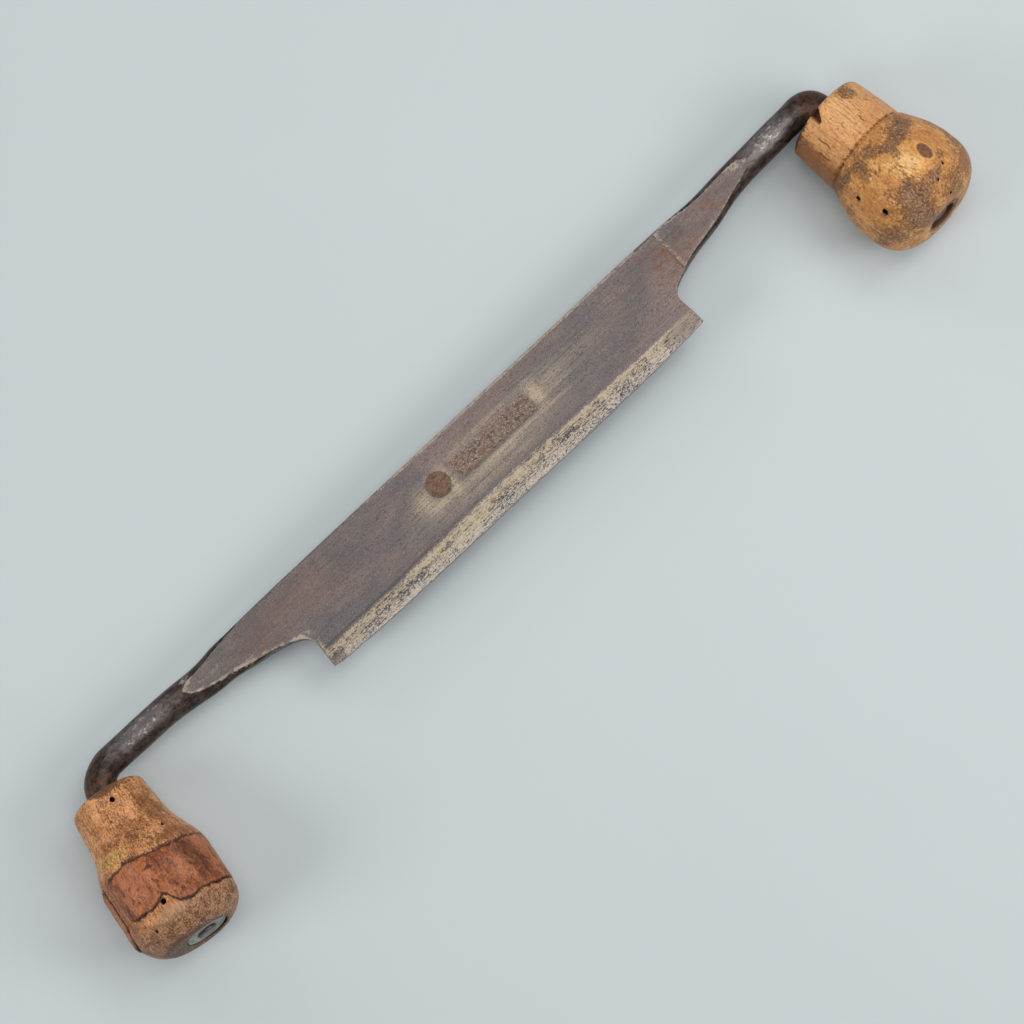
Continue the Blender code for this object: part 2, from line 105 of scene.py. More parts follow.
def wobble(points, scale, seed):  # soft noise from -1 to 1 at points in mm
    shift = Vector((seed * 17.3, seed * 5.9, seed * 11.1))
    flat = np.asarray(points, float).reshape(-1, 3) * scale
    return np.array([noise.noise(Vector(p) + shift) for p in flat]).reshape(np.shape(points)[:-1])


def uneven(points, waves):  # sum of noises: height, scale and seed of each
    return sum(height * wobble(points, scale, seed) for height, scale, seed in waves)


def waver(x, lane):  # soft noise along one line
    return noise.noise(Vector((x, lane, 0.0)))


def ease(x):
    x = np.clip(x, 0.0, 1.0)
    return x * x * (3 - 2 * x)


def bell(x, middle, width):
    return np.exp(-((x - middle) / width) ** 2)


def patches(x, y, spots):  # soft round patches: middle x and y, half sizes, strength
    return sum(most * bell(x, atX, wideX) * bell(y, atY, wideY) for atX, atY, wideX, wideY, most in spots)


# small helpers for materials, all working on the finish that was begun last

tree = None


def newFinish(name):
    global tree
    finish = bpy.data.materials.new(name)
    finish.use_nodes = True
    tree = finish.node_tree
    return finish


def feed(source, socket):
    if isinstance(source, bpy.types.NodeSocket):
        tree.links.new(source, socket)
    elif isinstance(source, tuple) and socket.type == "RGBA":
        socket.default_value = (*source, 1.0)
    else:
        socket.default_value = source


def mixColour(share, first, second, way="MIX"):
    node = tree.nodes.new("ShaderNodeMix")
    node.data_type = "RGBA"
    node.blend_type = way
    for source, place in ((share, 0), (first, 6), (second, 7)):
        feed(source, node.inputs[place])
    return node.outputs[2]


def sums(way, first, second, clamp=False):
    node = tree.nodes.new("ShaderNodeMath")
    node.operation = way
    node.use_clamp = clamp
    feed(first, node.inputs[0])
    feed(second, node.inputs[1])
    return node.outputs[0]


def plus(first, second, clamp=False):
    return sums("ADD", first, second, clamp)


def times(first, second, clamp=False):
    return sums("MULTIPLY", first, second, clamp)


def between(value, low, high, first=0.0, last=1.0):  # eased step from low to high
    node = tree.nodes.new("ShaderNodeMapRange")
    node.interpolation_type = "SMOOTHSTEP"
    feed(value, node.inputs["Value"])
    for name, number in (("From Min", low), ("From Max", high), ("To Min", first), ("To Max", last)):
        node.inputs[name].default_value = number
    return node.outputs[0]


# each row has a tint, a pattern, where the pattern begins and is full, and how strong it gets
def layers(colour, tints, *rows):
    for tint, pattern, *step in rows:
        if step:
            low, high, *most = step
            pattern = between(pattern, low, high, 0.0, *most)
        colour = mixColour(pattern, colour, tints[tint] if isinstance(tint, str) else tint)
    return colour


def placeCoords(turn=(0, 0, 0), shift=(0, 0, 0)):  # object coordinates laid along a piece, in metres
    coords = tree.nodes.new("ShaderNodeTexCoord")
    mapping = tree.nodes.new("ShaderNodeMapping")
    mapping.inputs["Rotation"].default_value = turn
    mapping.inputs["Location"].default_value = shift
    tree.links.new(coords.outputs["Object"], mapping.inputs["Vector"])
    return mapping.outputs["Vector"]


def grain(coords, sizes, detail=3.0, rough=0.55, twist=0.0):  # noise with so many cells per metre each way
    stretch = tree.nodes.new("ShaderNodeVectorMath")
    stretch.operation = "MULTIPLY"
    tree.links.new(coords, stretch.inputs[0])
    stretch.inputs[1].default_value = sizes
    node = tree.nodes.new("ShaderNodeTexNoise")
    tree.links.new(stretch.outputs[0], node.inputs["Vector"])
    for name, number in (("Scale", 1.0), ("Detail", detail), ("Roughness", rough), ("Distortion", twist)):
        node.inputs[name].default_value = number
    return node.outputs["Fac"]


def painted(name):
    node = tree.nodes.new("ShaderNodeAttribute")
    node.attribute_name = name
    return node.outputs["Fac"]


def blended(*parts):  # weighted sum of patterns
    total = 0.0
    for pattern, weight in parts:
        total = plus(times(pattern, weight), total)
    return total


def edged(mask, pattern, gain, middle=0.5):  # a painted mask whose edge follows a pattern
    return plus(painted(mask), times(sums("SUBTRACT", pattern, middle), gain))


def dress(colour, rough, specular, bumps=(), metal=0.0):  # patterns to the shader, bumps in metres
    shader = tree.nodes["Principled BSDF"].inputs
    feed(colour, shader["Base Color"])
    feed(rough, shader["Roughness"])
    shader["Specular IOR Level"].default_value = specular
    shader["Metallic"].default_value = metal
    normal = shader["Normal"]
    for height, depth in reversed(bumps):
        node = tree.nodes.new("ShaderNodeBump")
        node.inputs["Strength"].default_value = 1.0
        node.inputs["Distance"].default_value = depth
        feed(height, node.inputs["Height"])
        tree.links.new(node.outputs["Normal"], normal)
        normal = node.inputs["Normal"]


# camera and light, at the angle of the picture

cameraSet = {"aim": (-0.00227, -0.001309, 0.012), "turn": -43.263, "slant": 5.0, "far": 1.0,
             "pixel": 0.0003318, "sensor": 36.0, "picture": 1024, "clip": 20.0}


def makeCamera():
    turn, slant = math.radians(cameraSet["turn"]), math.radians(cameraSet["slant"])
    right = Vector((math.cos(turn), math.sin(turn), 0))
    level = Vector((-math.sin(turn), math.cos(turn), 0))
    back = Vector((0, 0, 1)) * math.cos(slant) - level * math.sin(slant)
    bpy.ops.object.camera_add()
    camera = bpy.context.object
    place = Matrix.Translation(Vector(cameraSet["aim"]) + back * cameraSet["far"])
    camera.matrix_world = place @ Matrix((right, back.cross(right), back)).transposed().to_4x4()
    camera.data.sensor_width = cameraSet["sensor"]
    camera.data.lens = cameraSet["sensor"] * cameraSet["far"] / cameraSet["pixel"] / cameraSet["picture"]
    camera.data.clip_end = cameraSet["clip"]
    bpy.context.scene.camera = camera
    return right


floorSet = {"size": 6.0, "colour": (0.6, 0.652, 0.668), "shade": 0.985, "rough": 0.75, "specular": 0.1}
lightSet = {
    "sky": (0.94, 0.97, 1.0), "skyPower": 0.14,
    # way round from the picture's right, height in degrees, distance, size, power
    "lamps": ((90, 88, 1.3, 0.7, 3.95), (0, 38, 1.1, 0.5, 3.3), (45, 58, 1.1, 0.5, 2.3),
              (90, 54, 1.1, 0.5, 1.0), (135, 32, 1.1, 0.5, 1.25), (207, 32, 1.1, 0.5, 3.3),
              (315, 32, 1.1, 0.5, 1.3)),
}


def makeStage(right):
    clearSelection()
    bpy.ops.mesh.primitive_plane_add(size=floorSet["size"])
    floor = bpy.context.object
    floor.name = "floor"
    floor.data.materials.append(newFinish("paleFloor"))
    cloud = grain(placeCoords(), (5, 5, 5))
    shaded = tuple(floorSet["shade"] * c for c in floorSet["colour"])
    colour = mixColour(between(cloud, 0.3, 0.7), shaded, floorSet["colour"])
    dress(colour, floorSet["rough"], floorSet["specular"])
    world = bpy.data.worlds.new("softSky")
    world.use_nodes = True
    sky = world.node_tree.nodes["Background"]
    sky.inputs["Color"].default_value = (*lightSet["sky"], 1.0)
    sky.inputs["Strength"].default_value = lightSet["skyPower"]
    bpy.context.scene.world = world
    up = Vector((0, 0, 1))
    ahead = up.cross(right)  # the picture's up, on the floor
    for way, height, far, size, power in lightSet["lamps"]:
        way, height = math.radians(way), math.radians(height)
        level = right * math.cos(way) + ahead * math.sin(way)
        bpy.ops.object.light_add(type="AREA")
        lamp = bpy.context.object
        lamp.data.shape = "DISK"
        lamp.data.size = size
        lamp.data.energy = power
        lamp.location = (level * math.cos(height) + up * math.sin(height)) * far
        lamp.rotation_euler = (-lamp.location).to_track_quat("-Z", "Y").to_euler()
    bpy.context.scene.view_settings.view_transform = "Standard"


makeStage(makeCamera())
print("camera and stage ready")


# forged blade with its tangs

bladeSet = {
    "edgeLength": 165.5, "width": 35.0, "backThick": 5.0, "bevelThick": 2.8, "edgeThick": 0.4, "belly": 1.3,
    "bevelRun": 28.0, "rootWidth": 18.4, "fillet": 4.3, "tilt": 13.0, "bar": 10.4, "spike": 7.4,
    "spikeEnd": 5.4, "head": 7.0, "headRise": 0.7, "backCorner": 0.55, "bevelLine": -22.8,
    "headShape": ((0.45, 0.96), (0.65, 0.9), (0.8, 0.8), (0.92, 0.64), (1.0, 0.45), (0.97, 0.25),
                  (0.98, 0.1)),
    "ringCounts": (14, 56, 34, 3, 10, 16),  # back, top, bevel, edge, under the bevel, underside
    "ringStep": 0.46, "tangStep": 0.6, "bendSteps": 34,
    "panel": (6.6, -8.3, 17.0, 3.65, 0.3),  # middle, half sizes and depth of the sunken panel
    "spot": (-17.8, -7.8, 4.4, 0.25),  # middle, radius and depth of the round spot
    "nicks": 46, "nickSeed": 7, "nickWidths": (0.4, 1.3), "nickDepths": (0.06, 0.34), "nickPower": 1.3,
    "hammer": ((0.14, 0.1, 5), (0.05, 0.4, 6)), "hammerDown": 0.06, "hammerEnd": 98.0, "swellReach": 0.62,
    "square": 9.0, "squareRun": 32.0,  # how square the heel is, and how far from it the bar is round
    "softStep": (0.0, 14.0),  # where a heel without a step runs into its ground flat
    "bevelSwell": (1.3, 2.0, 32.0), "bevelRagged": ((0.3, 0.35, 2.0), (0.25, 0.09, 7.0)),
    "ragged": ((0.35, 0.9, 1),), "panelSoft": 0.8, "spotSoft": 0.7, "panelRough": 0.17, "spotRough": 0.1,
    "bevelSoft": 2.6, "pitScale": 0.75, "pitStart": 0.22, "pitDeep": 0.35, "sway": ((0.03, 0.12, 4),),
}
tangSet = {
    "left": {
        "sign": -1, "length": 84.5, "taper": 54.0, "sweep": 0.4, "bend": 8.8, "swell": (0.8, 0.8),
        "splay": 4.0, "lie": 12.9087, "through": 56.8, "step": None,
        "waves": ((27.0, 5.5, 0.55), (34.0, 12.0, -0.75)),
        # distances from the heel and how much of the bar's width is ground flat there
        "facet": ((0, 0.97), (6, 0.97), (12, 0.95), (20, 0.87), (28, 0.71), (35, 0.58), (39, 0.47),
                  (41.5, 0.3), (43, 0)),
        "rims": (0.9, 0.25), "lean": 0.05, "front": None, "fillet": 6.4, "flare": 0.8, "corner": 0.5,
        "waist": (12.0, 5.0, 0.45)},
    "right": {
        "sign": 1, "length": 77.5, "taper": 47.0, "sweep": 2.3, "bend": 7.5, "swell": (2.0, 0.58),
        "splay": 3.7, "lie": 10.55, "through": 51.7, "step": (8.0, 0.9), "waves": ((26.0, 9.0, -0.55),),
        "facet": ((0, 0.97), (8, 0.97), (14, 0.94), (20, 0.87), (28, 0.76), (36, 0.67), (42, 0.57),
                  (46, 0.4), (48.5, 0)),
        "rims": (0.25, 0.5), "lean": 0.09, "front": 45.0, "fillet": 5.8, "flare": 0.75, "corner": 0.3,
        "waist": (13.0, 9.0, 0.5)},
}
bladeMarks = {  # patches along and across the blade: middles, half sizes, strength
    "rub": ((-25.0, -9.5, 3.4, 4.4, 0.75), (-14.0, -9.5, 1.7, 5.0, 1.2), (-20.0, -13.6, 5.0, 1.4, 0.7),
            (8.0, -13.9, 20.0, 1.3, 0.85), (6.0, -2.9, 16.0, 1.1, 0.65), (0.0, -17.4, 24.0, 2.4, 0.5),
            (26.3, -7.8, 2.6, 5.0, 1.0), (34.0, -7.5, 7.0, 4.6, 0.5), (48.0, -7.0, 10.0, 4.0, 0.2),
            (-28.0, -10.0, 8.0, 4.0, 0.2)),
    "rust": ((-98.0, -6.0, 10.0, 5.0, 0.75), (-82.0, -2.0, 12.0, 5.0, 0.6), (-66.0, -6.0, 14.0, 7.0, 0.35),
             (88.0, -6.0, 3.6, 7.5, 1.5), (80.0, -2.0, 6.0, 5.0, 0.6), (97.0, -5.0, 6.0, 5.0, 0.8),
             (112.0, -2.0, 9.0, 3.5, 0.9), (66.0, -8.0, 8.0, 4.0, 0.3)),
    "notch": ((-87.25, -13.6, 7.0, 1.3, 1.0), (-81.95, -21.5, 1.3, 5.0, 1.0), (82.15, -22.5, 0.8, 4.0, 0.5),
              (-123.25, 2.2, 2.6, 2.4, 0.9), (-113.75, -2.0, 8.0, 1.2, 0.6), (-100.75, -7.2, 9.0, 1.2, 0.6),
              (-112.75, 4.0, 3.0, 0.8, 0.7), (125.75, 1.6, 3.0, 2.2, 0.8), (102.75, 4.2, 12.0, 0.8, 0.6)),
    "dull": ((77.0, -26.0, 8.0, 3.6, 0.95), (-81.0, -27.0, 4.0, 3.0, 0.8), (60.0, -29.5, 20.0, 0.8, 0.6),
             (0.0, -29.6, 60.0, 0.6, 0.6)),
    # the first figure of these is the distance beyond the heel
    # painted sheen and glinting flecks on the tops of the bars, partly real wear
    "wearAndSheen": ((61.0, -145.0, 16.0, 40.0, 0.85), (58.0, 140.0, 12.0, 40.0, 1.0)),
    "entry": (88.0, 80.0),  # where the left and the right tang go into the wood, beyond the heel
    "entryRust": (0.85, 15.0, 12.0, 4.0),  # strength, start before the wood, run, and depth in the wood
    "rivet": 120.0, "rivetRust": 1.5, "rivetWearSheen": 0.55,  # both riveted heads are farther out than this
    "wearSheenTop": (0.56, 0.4), "wearSheenFrom": 35.0,  # share of the bar's height, and how far beyond the heel
}
backLine = bladeSet["bar"] / 2
rootLine = backLine - bladeSet["rootWidth"] - bladeSet["fillet"]
halfEdge = bladeSet["edgeLength"] / 2
halfBack = bladeSet["backThick"] / 2
nBack, nTop, nBevel, nEdge, nLip, nUnder = bladeSet["ringCounts"]
bladeTilt = math.radians(bladeSet["tilt"])
bladeBack = Vector((0, math.cos(bladeTilt), -math.sin(bladeTilt)))
bladeFace = Vector((0, math.sin(bladeTilt), math.cos(bladeTilt)))


def toWorld(points):
    turn = math.radians(toolPlace["roll"])
    x = points[..., 0] * math.cos(turn) + points[..., 2] * math.sin(turn)
    z = -points[..., 0] * math.sin(turn) + points[..., 2] * math.cos(turn)
    return (np.stack([x, points[..., 1], z], -1) + np.array(toolPlace["offset"])) * mm


def ringAt(origin, back, face, ring):
    return np.array(origin) + np.outer(ring[:, 0], np.array(back)) + np.outer(ring[:, 1], np.array(face))


def evenly(line, count):  # so many points at equal distances along a line, its end left out
    steps = np.linalg.norm(np.diff(line, axis=0), axis=1)
    run = np.concatenate([[0.0], np.cumsum(steps)])
    at = np.linspace(0.0, run[-1], count, endpoint=False)
    return np.stack([np.interp(at, run, line[:, 0]), np.interp(at, run, line[:, 1])], 1)


def groundHeight(y):
    drop = bladeSet["backThick"] - bladeSet["bevelThick"]
    return halfBack - drop * (backLine - y) / bladeSet["bevelRun"]


def bevelTop(along):  # where the bevel begins, widest in the middle
    most, middle, half = bladeSet["bevelSwell"]
    ragged = sum(height * waver(along * scale, lane) for height, scale, lane in bladeSet["bevelRagged"])
    return bladeSet["bevelLine"] + most * bell(along, middle, half) + ragged


def makeNicks():
    dice = np.random.RandomState(bladeSet["nickSeed"])
    places = dice.uniform(-halfEdge, halfEdge, bladeSet["nicks"])
    widths = dice.uniform(*bladeSet["nickWidths"], bladeSet["nicks"])
    depths = dice.uniform(*bladeSet["nickDepths"], bladeSet["nicks"]) ** bladeSet["nickPower"]
    return places, widths, depths


nickPlaces, nickWidths, nickDepths = makeNicks()


def sideOf(along):
    return tangSet["left" if along < 0 else "right"]


def splitLine(along):  # where the top of the blade's rings ends, to meet the hollow beside each heel
    target = backLine - bladeSet["rootWidth"] - sideOf(along)["fillet"]
    return rootLine + (target - rootLine) * ease((abs(along) - halfEdge + 16) / 16)


def edgeLine(along):
    belly = bladeSet["belly"] * abs(along / halfEdge) ** 4
    belly += sideOf(along)["corner"] * ease((abs(along) - halfEdge + 5) / 5) ** 1.5
    nick = np.max(nickDepths * bell(along, nickPlaces, nickWidths))
    return backLine - bladeSet["width"] + belly + nick + max(0.0, 0.1 * waver(along * 0.12, 31.0))


def bladeRing(along):
    dent = 0.16 * max(0.0, waver(along * 0.9, 3.0)) + 0.08 * waver(along * 0.15, 9.0)
    back = backLine - max(0.0, dent)
    inner = back - bladeSet["backCorner"]
    # the back with its rounded corners, from below
    side = np.array([(inner, -halfBack), (back - 0.16, -halfBack + 0.14), (back, -halfBack + 0.5),
                     (back, halfBack - 0.55), (back - 0.18, halfBack - 0.16), (inner, groundHeight(inner))])
    split, edge, start = splitLine(along), edgeLine(along), bevelTop(along)
    topY = np.linspace(inner, split, nTop, endpoint=False)
    bevelY = np.linspace(split, edge, nBevel, endpoint=False)
    lip = -halfBack + bladeSet["edgeThick"]
    down = np.clip((start - bevelY) / (start - edge), 0, 1)
    low = groundHeight(start) + (lip - groundHeight(start)) * down
    bevelZ = np.where(bevelY > start, groundHeight(bevelY), low)
    lipZ = np.linspace(lip, -halfBack, nEdge, endpoint=False)
    underY = np.concatenate([np.linspace(edge, split, nLip, endpoint=False),
                             np.linspace(split, inner, nUnder, endpoint=False)])
    rows = ((topY, groundHeight(topY)), (bevelY, bevelZ), (edge, lipZ), (underY, -halfBack))
    return np.concatenate([evenly(side, nBack)] + [np.stack(np.broadcast_arrays(y, z), 1) for y, z in rows])


def barRing(width, thick, power, back):  # a forged bar between square and round
    parts = []
    for first, count in ((225, nBack), (135, nTop), (45, nBevel + nEdge + nLip), (-45, nUnder)):
        angle = np.radians(np.linspace(first, first - 90, 90))
        across, rise = (np.sign(way) * np.abs(way) ** (2 / power) for way in (np.cos(angle), np.sin(angle)))
        parts.append(evenly(np.stack([back - width / 2 * (1 + across), rise * thick / 2], 1), count))
    return np.concatenate(parts)


def facetShare(side, d):
    return np.interp(d, *zip(*side["facet"]))


def frontBand(side, d):  # width of the forged strip left in front of the ground flat
    return (0.4 + 0.6 * ease((d - 12) / 16)) * ease((d - 8) / 5) * ease((side["front"] + 3 - d) / 9)


def rootRing(side, d):  # section between a heel and the round bar, and which part of it is ground flat
    share = np.clip((d - bladeSet["fillet"]) / (side["taper"] - bladeSet["fillet"]), 0, 1)
    width = bladeSet["bar"] + (bladeSet["rootWidth"] - bladeSet["bar"]) * (1 - share) ** 1.5
    waistAt, waistRun, waist = side["waist"]
    width -= waist * bell(d, waistAt, waistRun)
    hollow = side["fillet"]
    if d < hollow:
        width += hollow - math.sqrt(hollow ** 2 - (hollow - d) ** 2)
    thick = bladeSet["backThick"] + (bladeSet["bar"] - bladeSet["backThick"]) * ease(share)
    power = bladeSet["square"] * (2.0 / bladeSet["square"]) ** ease(d / bladeSet["squareRun"])
    back = backLine + sum(h * bell(d, at, w) for at, w, h in side["waves"])
    ring = barRing(width, thick, power, back)
    facet = thick / 2 * (1 - facetShare(side, d) ** power) ** (1 / power)
    lean = side["lean"] * ease((d - 10) / 22) * min(1.0, 2.2 * facetShare(side, d))
    top = facet + lean * (ring[:, 0] - back + width / 2)
    ground = groundHeight(ring[:, 0])
    stepAt, stepRun = side["step"] or bladeSet["softStep"]
    top = ground + (top - ground) * ease((d - stepAt) / stepRun)
    cut = (ring[:, 1] > top) & (ring[:, 1] > 0)
    ring[:, 1] = np.where(cut, top, ring[:, 1])
    if side["front"]:
        ahead = np.clip(frontBand(side, d) - (ring[:, 0] - ring[:, 0].min()), 0, None)
        ring[:, 1] -= np.where(cut, 0.45 * ahead, 0.0)
    return ring, cut, width, back


def rootPaint(side, d, ring, cut, width, back):  # dark forged skin beside the ground flat, and its worn rims
    edges = ring[cut, 0] if cut.any() else np.array([back - width / 2])
    frontWide, rearWide = side["rims"]
    tip = 1.0 - facetShare(side, d) if d > 30 else 0.0
    ragged = 0.8 + 0.75 * waver(d * 0.38, side["sign"] * 3.0)
    rim = ragged * bell(ring[:, 0], edges.min() + 0.4 * frontWide, frontWide)
    rim = rim + 0.7 * bell(ring[:, 0], edges.max(), rearWide)
    rim = np.maximum(rim, 1.1 * cut * max(0.0, tip - 0.4) / 0.6)
    # a tan line just past the step, partly worn edge and partly a painted highlight
    if side["step"]:
        rim = np.maximum(rim, 0.85 * cut * bell(d, side["step"][0] + 1.4, 1.0))
    rim = np.where(ring[:, 1] > -0.2, rim, 0.0) * cut.any()
    ahead = np.roll(ring, -1, 0) - np.roll(ring, 1, 0)
    upward = -ahead[:, 0] / np.maximum(1e-6, np.hypot(ahead[:, 0], ahead[:, 1]))
    paint = np.where(cut, 0.0, np.maximum(ease((0.75 - upward) / 0.4), ease((d - 8) / 12)))
    if side["front"]:
        band = frontBand(side, d)
        far = ring[:, 0] - ring[:, 0].min()
        shown = ease((d - 9) / 4) * ease((side["front"] - d) / 8)
        paint = np.maximum(paint, ease((band - far) / 0.5 + 0.5) * (ring[:, 1] > -1.0) * shown)
        rim = rim * (1 - ease((band + 1.0 - far) / 0.6) * shown)
        # a thin tan line along the front band, partly worn edge and partly a painted highlight
        rim = np.maximum(rim, 0.95 * ragged * shown * bell(far, band + 0.45, 0.4) * cut)
    return paint, rim


def tangRings(side):  # from the heel through the bend to the riveted end
    sign, taper, fillet, bend = side["sign"], side["taper"], bladeSet["fillet"], side["bend"]
    sweep, lean, lie = (math.radians(side[key]) for key in ("sweep", "splay", "lie"))
    made = []

    def station(d):
        run = taper - fillet
        share = np.clip((d - fillet) / run, 0, 1)
        offset = math.tan(sweep) * (run * share ** 3 * (1 - share / 2) + max(0.0, d - taper))
        turned = Matrix.Rotation(sign * sweep * ease(share), 3, bladeFace) @ bladeBack
        return Vector((sign * (halfEdge + d), 0, 0)) + bladeBack * offset, turned

    def keep(origin, back, face, ring, far, paint=1.0, rim=0.0):
        same = np.ones(len(ring))
        made.append((ringAt(origin, back, face, ring), sign * (halfEdge + far) * same, ring[:, 0],
                     ring[:, 1], paint * same, rim * same))

    axis = Vector((sign * math.sin(lean) * math.cos(lie), -math.cos(lean) * math.cos(lie), math.sin(lie)))
    corner, cornerBack = station(side["length"])
    out = cornerBack.cross(bladeFace) * sign
    turn = out.angle(axis)
    straight = side["length"] - bend * math.tan(turn / 2)
    stops = [0.03] + [fillet * (1 - math.cos(math.pi / 2 * i / 10)) for i in range(1, 10)]
    stops += list(np.arange(fillet, straight, bladeSet["tangStep"]))
    if side["step"]:
        at, run = side["step"]
        stops = sorted(stops + list(np.linspace(at, at + run, 6)))
    for d in stops:
        section = rootRing(side, d)
        keep(*station(d), bladeFace, section[0], d, *rootPaint(side, d, *section))

    inward = (axis - out * axis.dot(out)).normalized()
    turnAxis = out.cross(axis).normalized()
    centre = corner - out * bend * math.tan(turn / 2) + inward * bend
    full = barRing(bladeSet["bar"], bladeSet["bar"], 2.0, backLine)
    swell, swellAt = side["swell"]
    for share in np.arange(bladeSet["bendSteps"] + 1) / bladeSet["bendSteps"]:
        spun = Matrix.Rotation(turn * share, 3, turnAxis)
        upset = full.copy()
        most = swell * max(0.0, 1 - ((share - swellAt) / bladeSet["swellReach"]) ** 2) ** 2
        upset[:, 0] += most * np.clip(full[:, 0] / backLine, 0, 1) ** 2
        origin = centre - spun @ inward * bend
        far = straight + bend * turn * share
        keep(origin, spun @ cornerBack, spun @ bladeFace, upset, far)
    through, head = side["through"], bladeSet["head"]
    rows = [(0.0, bladeSet["spike"]), (through, bladeSet["spikeEnd"]), (through, head)]
    rows += [(through + bladeSet["headRise"] * rise, head * wide) for rise, wide in bladeSet["headShape"]]
    for deep, wide in rows:
        keep(origin + axis * deep, spun @ cornerBack, spun @ bladeFace, full * (wide / bladeSet["bar"]),
             far + deep + 0.01)
    return made


def makeBlade():
    made = tangRings(tangSet["left"])[::-1]
    for along in np.linspace(-halfEdge, halfEdge, int(bladeSet["edgeLength"] / bladeSet["ringStep"])):
        ring = bladeRing(along)
        bar, rim = np.zeros(len(ring)), np.zeros(len(ring))
        bar[:nBack - 2] = 1.0  # the dark back, with a worn rim that grows to the right
        rim[nBack - 3:nBack + 2] = 0.15 + 0.85 * ease((along + 75) / 60)
        points = ringAt((along, 0, 0), bladeBack, bladeFace, ring)
        flare = ease((abs(along) - halfEdge + 9) / 9) * np.clip((-18.5 - ring[:, 0]) / 9, 0, 1)
        points[:, 0] += math.copysign(sideOf(along)["flare"], along) * flare
        made.append((points, np.full(len(ring), along), ring[:, 0], ring[:, 1], bar, rim))
    made += tangRings(tangSet["right"])
    points, along, y, z, bar, rim = (np.array(rows) for rows in zip(*made))
    bevelStart, edge = (np.array([[line(a)] for a in along[:, 0]]) for line in (bevelTop, edgeLine))

    # sunken panel, round spot and pitted bevel
    top = (z > -2.2) & (np.abs(along) < halfEdge - 0.01)
    top[:, nBack + nTop + nBevel:] = False
    midX, midY, halfX, halfY, depth = bladeSet["panel"]
    ragged = uneven(points, bladeSet["ragged"])
    panel = ease((halfX - np.abs(along - midX) + ragged) / bladeSet["panelSoft"] + 0.5) * top
    panel = panel * ease((halfY - np.abs(y - midY) + ragged) / bladeSet["panelSoft"] + 0.5)
    spotX, spotY, radius, sunk = bladeSet["spot"]
    inSpot = radius - np.hypot(along - spotX, y - spotY) - 0.3 * ragged
    spot = ease(inSpot / bladeSet["spotSoft"] + 0.5) * top
    rough = wobble(points, 1.1, 2)
    bevel = ease((bevelStart - y) / bladeSet["bevelSoft"] + 0.35) * top
    pits = np.clip(wobble(points, bladeSet["pitScale"], 3) - bladeSet["pitStart"], 0, 1)
    pits = pits * ease((bevel - 0.4) / 0.4)
    lift = (bladeSet["panelRough"] * rough - depth) * panel + (bladeSet["spotRough"] * rough - sunk) * spot
    lift = lift - bladeSet["pitDeep"] * pits + uneven(points, bladeSet["sway"]) * top
    points = points + lift[..., None] * np.array(bladeFace)

    # the unevenness of hand forging on the bars, as far as they are seen
    beyond = np.abs(along) - halfEdge
    knocked = np.minimum(0.0, uneven(points, bladeSet["hammer"]) - bladeSet["hammerDown"])
    outward = points - points.mean(1, keepdims=True)
    outward = outward / np.maximum(1e-6, np.linalg.norm(outward, axis=-1, keepdims=True))
    knocked = knocked * ease((beyond - 6) / 20) * bar * (beyond < bladeSet["hammerEnd"])
    points = points + outward * knocked[..., None]

    entry = np.where(along < 0, *bladeMarks["entry"])
    rivet = beyond > bladeMarks["rivet"]
    strength, before, run, within = bladeMarks["entryRust"]
    rust = patches(along, y, bladeMarks["rust"]) + bladeMarks["rivetRust"] * ((along > 0) & rivet)
    rust = rust + strength * ease((beyond - entry + before) / run) * (beyond < entry + within)
    # painted sheen on the top of each bar, with flecks that are partly wear and partly painted glints; the
    # left riveted head gets some too
    start, run = bladeMarks["wearSheenTop"]
    wearAndSheen = ease((z / backLine - start) / run) * patches(beyond, along, bladeMarks["wearAndSheen"])
    wearAndSheen = wearAndSheen * (beyond > bladeMarks["wearSheenFrom"]) + bladeMarks["rivetWearSheen"] * ((along < 0) & rivet)
    notch = patches(along, y, bladeMarks["notch"]) * (z > 0.5 - 2.8 * (beyond < 0))
    masks = {
        "rub": patches(along, y, bladeMarks["rub"]) * top, "rust": rust, "bevel": bevel,
        "bar": np.where(beyond > 0, bar, bar * 0.8), "rim": np.clip(rim + notch, 0, 1.4),
        "sunk": panel, "spot": spot, "dull": patches(along, y, bladeMarks["dull"]),
        "crest": bell(y, bevelStart + 0.8, 0.6) * top * (0.3 + 0.7 * ease(-along / 40)),
        # the bright line along the cutting edge, partly honed steel and partly a painted glint
        "edge": ease(1.0 - np.clip((y - edge) / 1.2, 0, 1)) * top,
        "wearAndSheen": wearAndSheen, "low": np.clip((-22.0 - y) / 7.5, 0, 1),
    }
    return ringPiece("forgedBlade", toWorld(points), masks, 40, closed=False)


ironSet = {
    "patina": (0.215, 0.172, 0.162), "patinaBlue": (0.152, 0.14, 0.141), "patinaWarm": (0.238, 0.18, 0.164),
    "shadeDark": (0.45, 0.44, 0.44), "shadeLight": (1.55, 1.53, 1.51), "bevelTan": (0.44, 0.352, 0.235),
    "rust": (0.255, 0.122, 0.078), "rustDeep": (0.11, 0.062, 0.045), "tan": (0.49, 0.395, 0.28),
    "pale": (0.52, 0.44, 0.32), "brown": (0.25, 0.197, 0.165), "pit": (0.07, 0.061, 0.06),
    "dull": (0.215, 0.165, 0.155), "bar": (0.032, 0.024, 0.021), "barBrown": (0.082, 0.054, 0.043),
    # worn and sheen: flecks that are partly wear and partly painted glints, and a painted sheen, for the
    # bars' tops
    "barRust": (0.135, 0.056, 0.031), "worn": (0.56, 0.51, 0.46), "greyPale": (0.56, 0.535, 0.505),
    # bright: the cutting edge's line, partly honed steel and partly a painted glint
    "sheen": (0.27, 0.243, 0.243), "bright": (0.8, 0.77, 0.72), "spot": (0.27, 0.132, 0.08),
    "rimTan": (0.47, 0.395, 0.31), "floor": (0.235, 0.165, 0.132), "floorDark": (0.08, 0.055, 0.046),
}


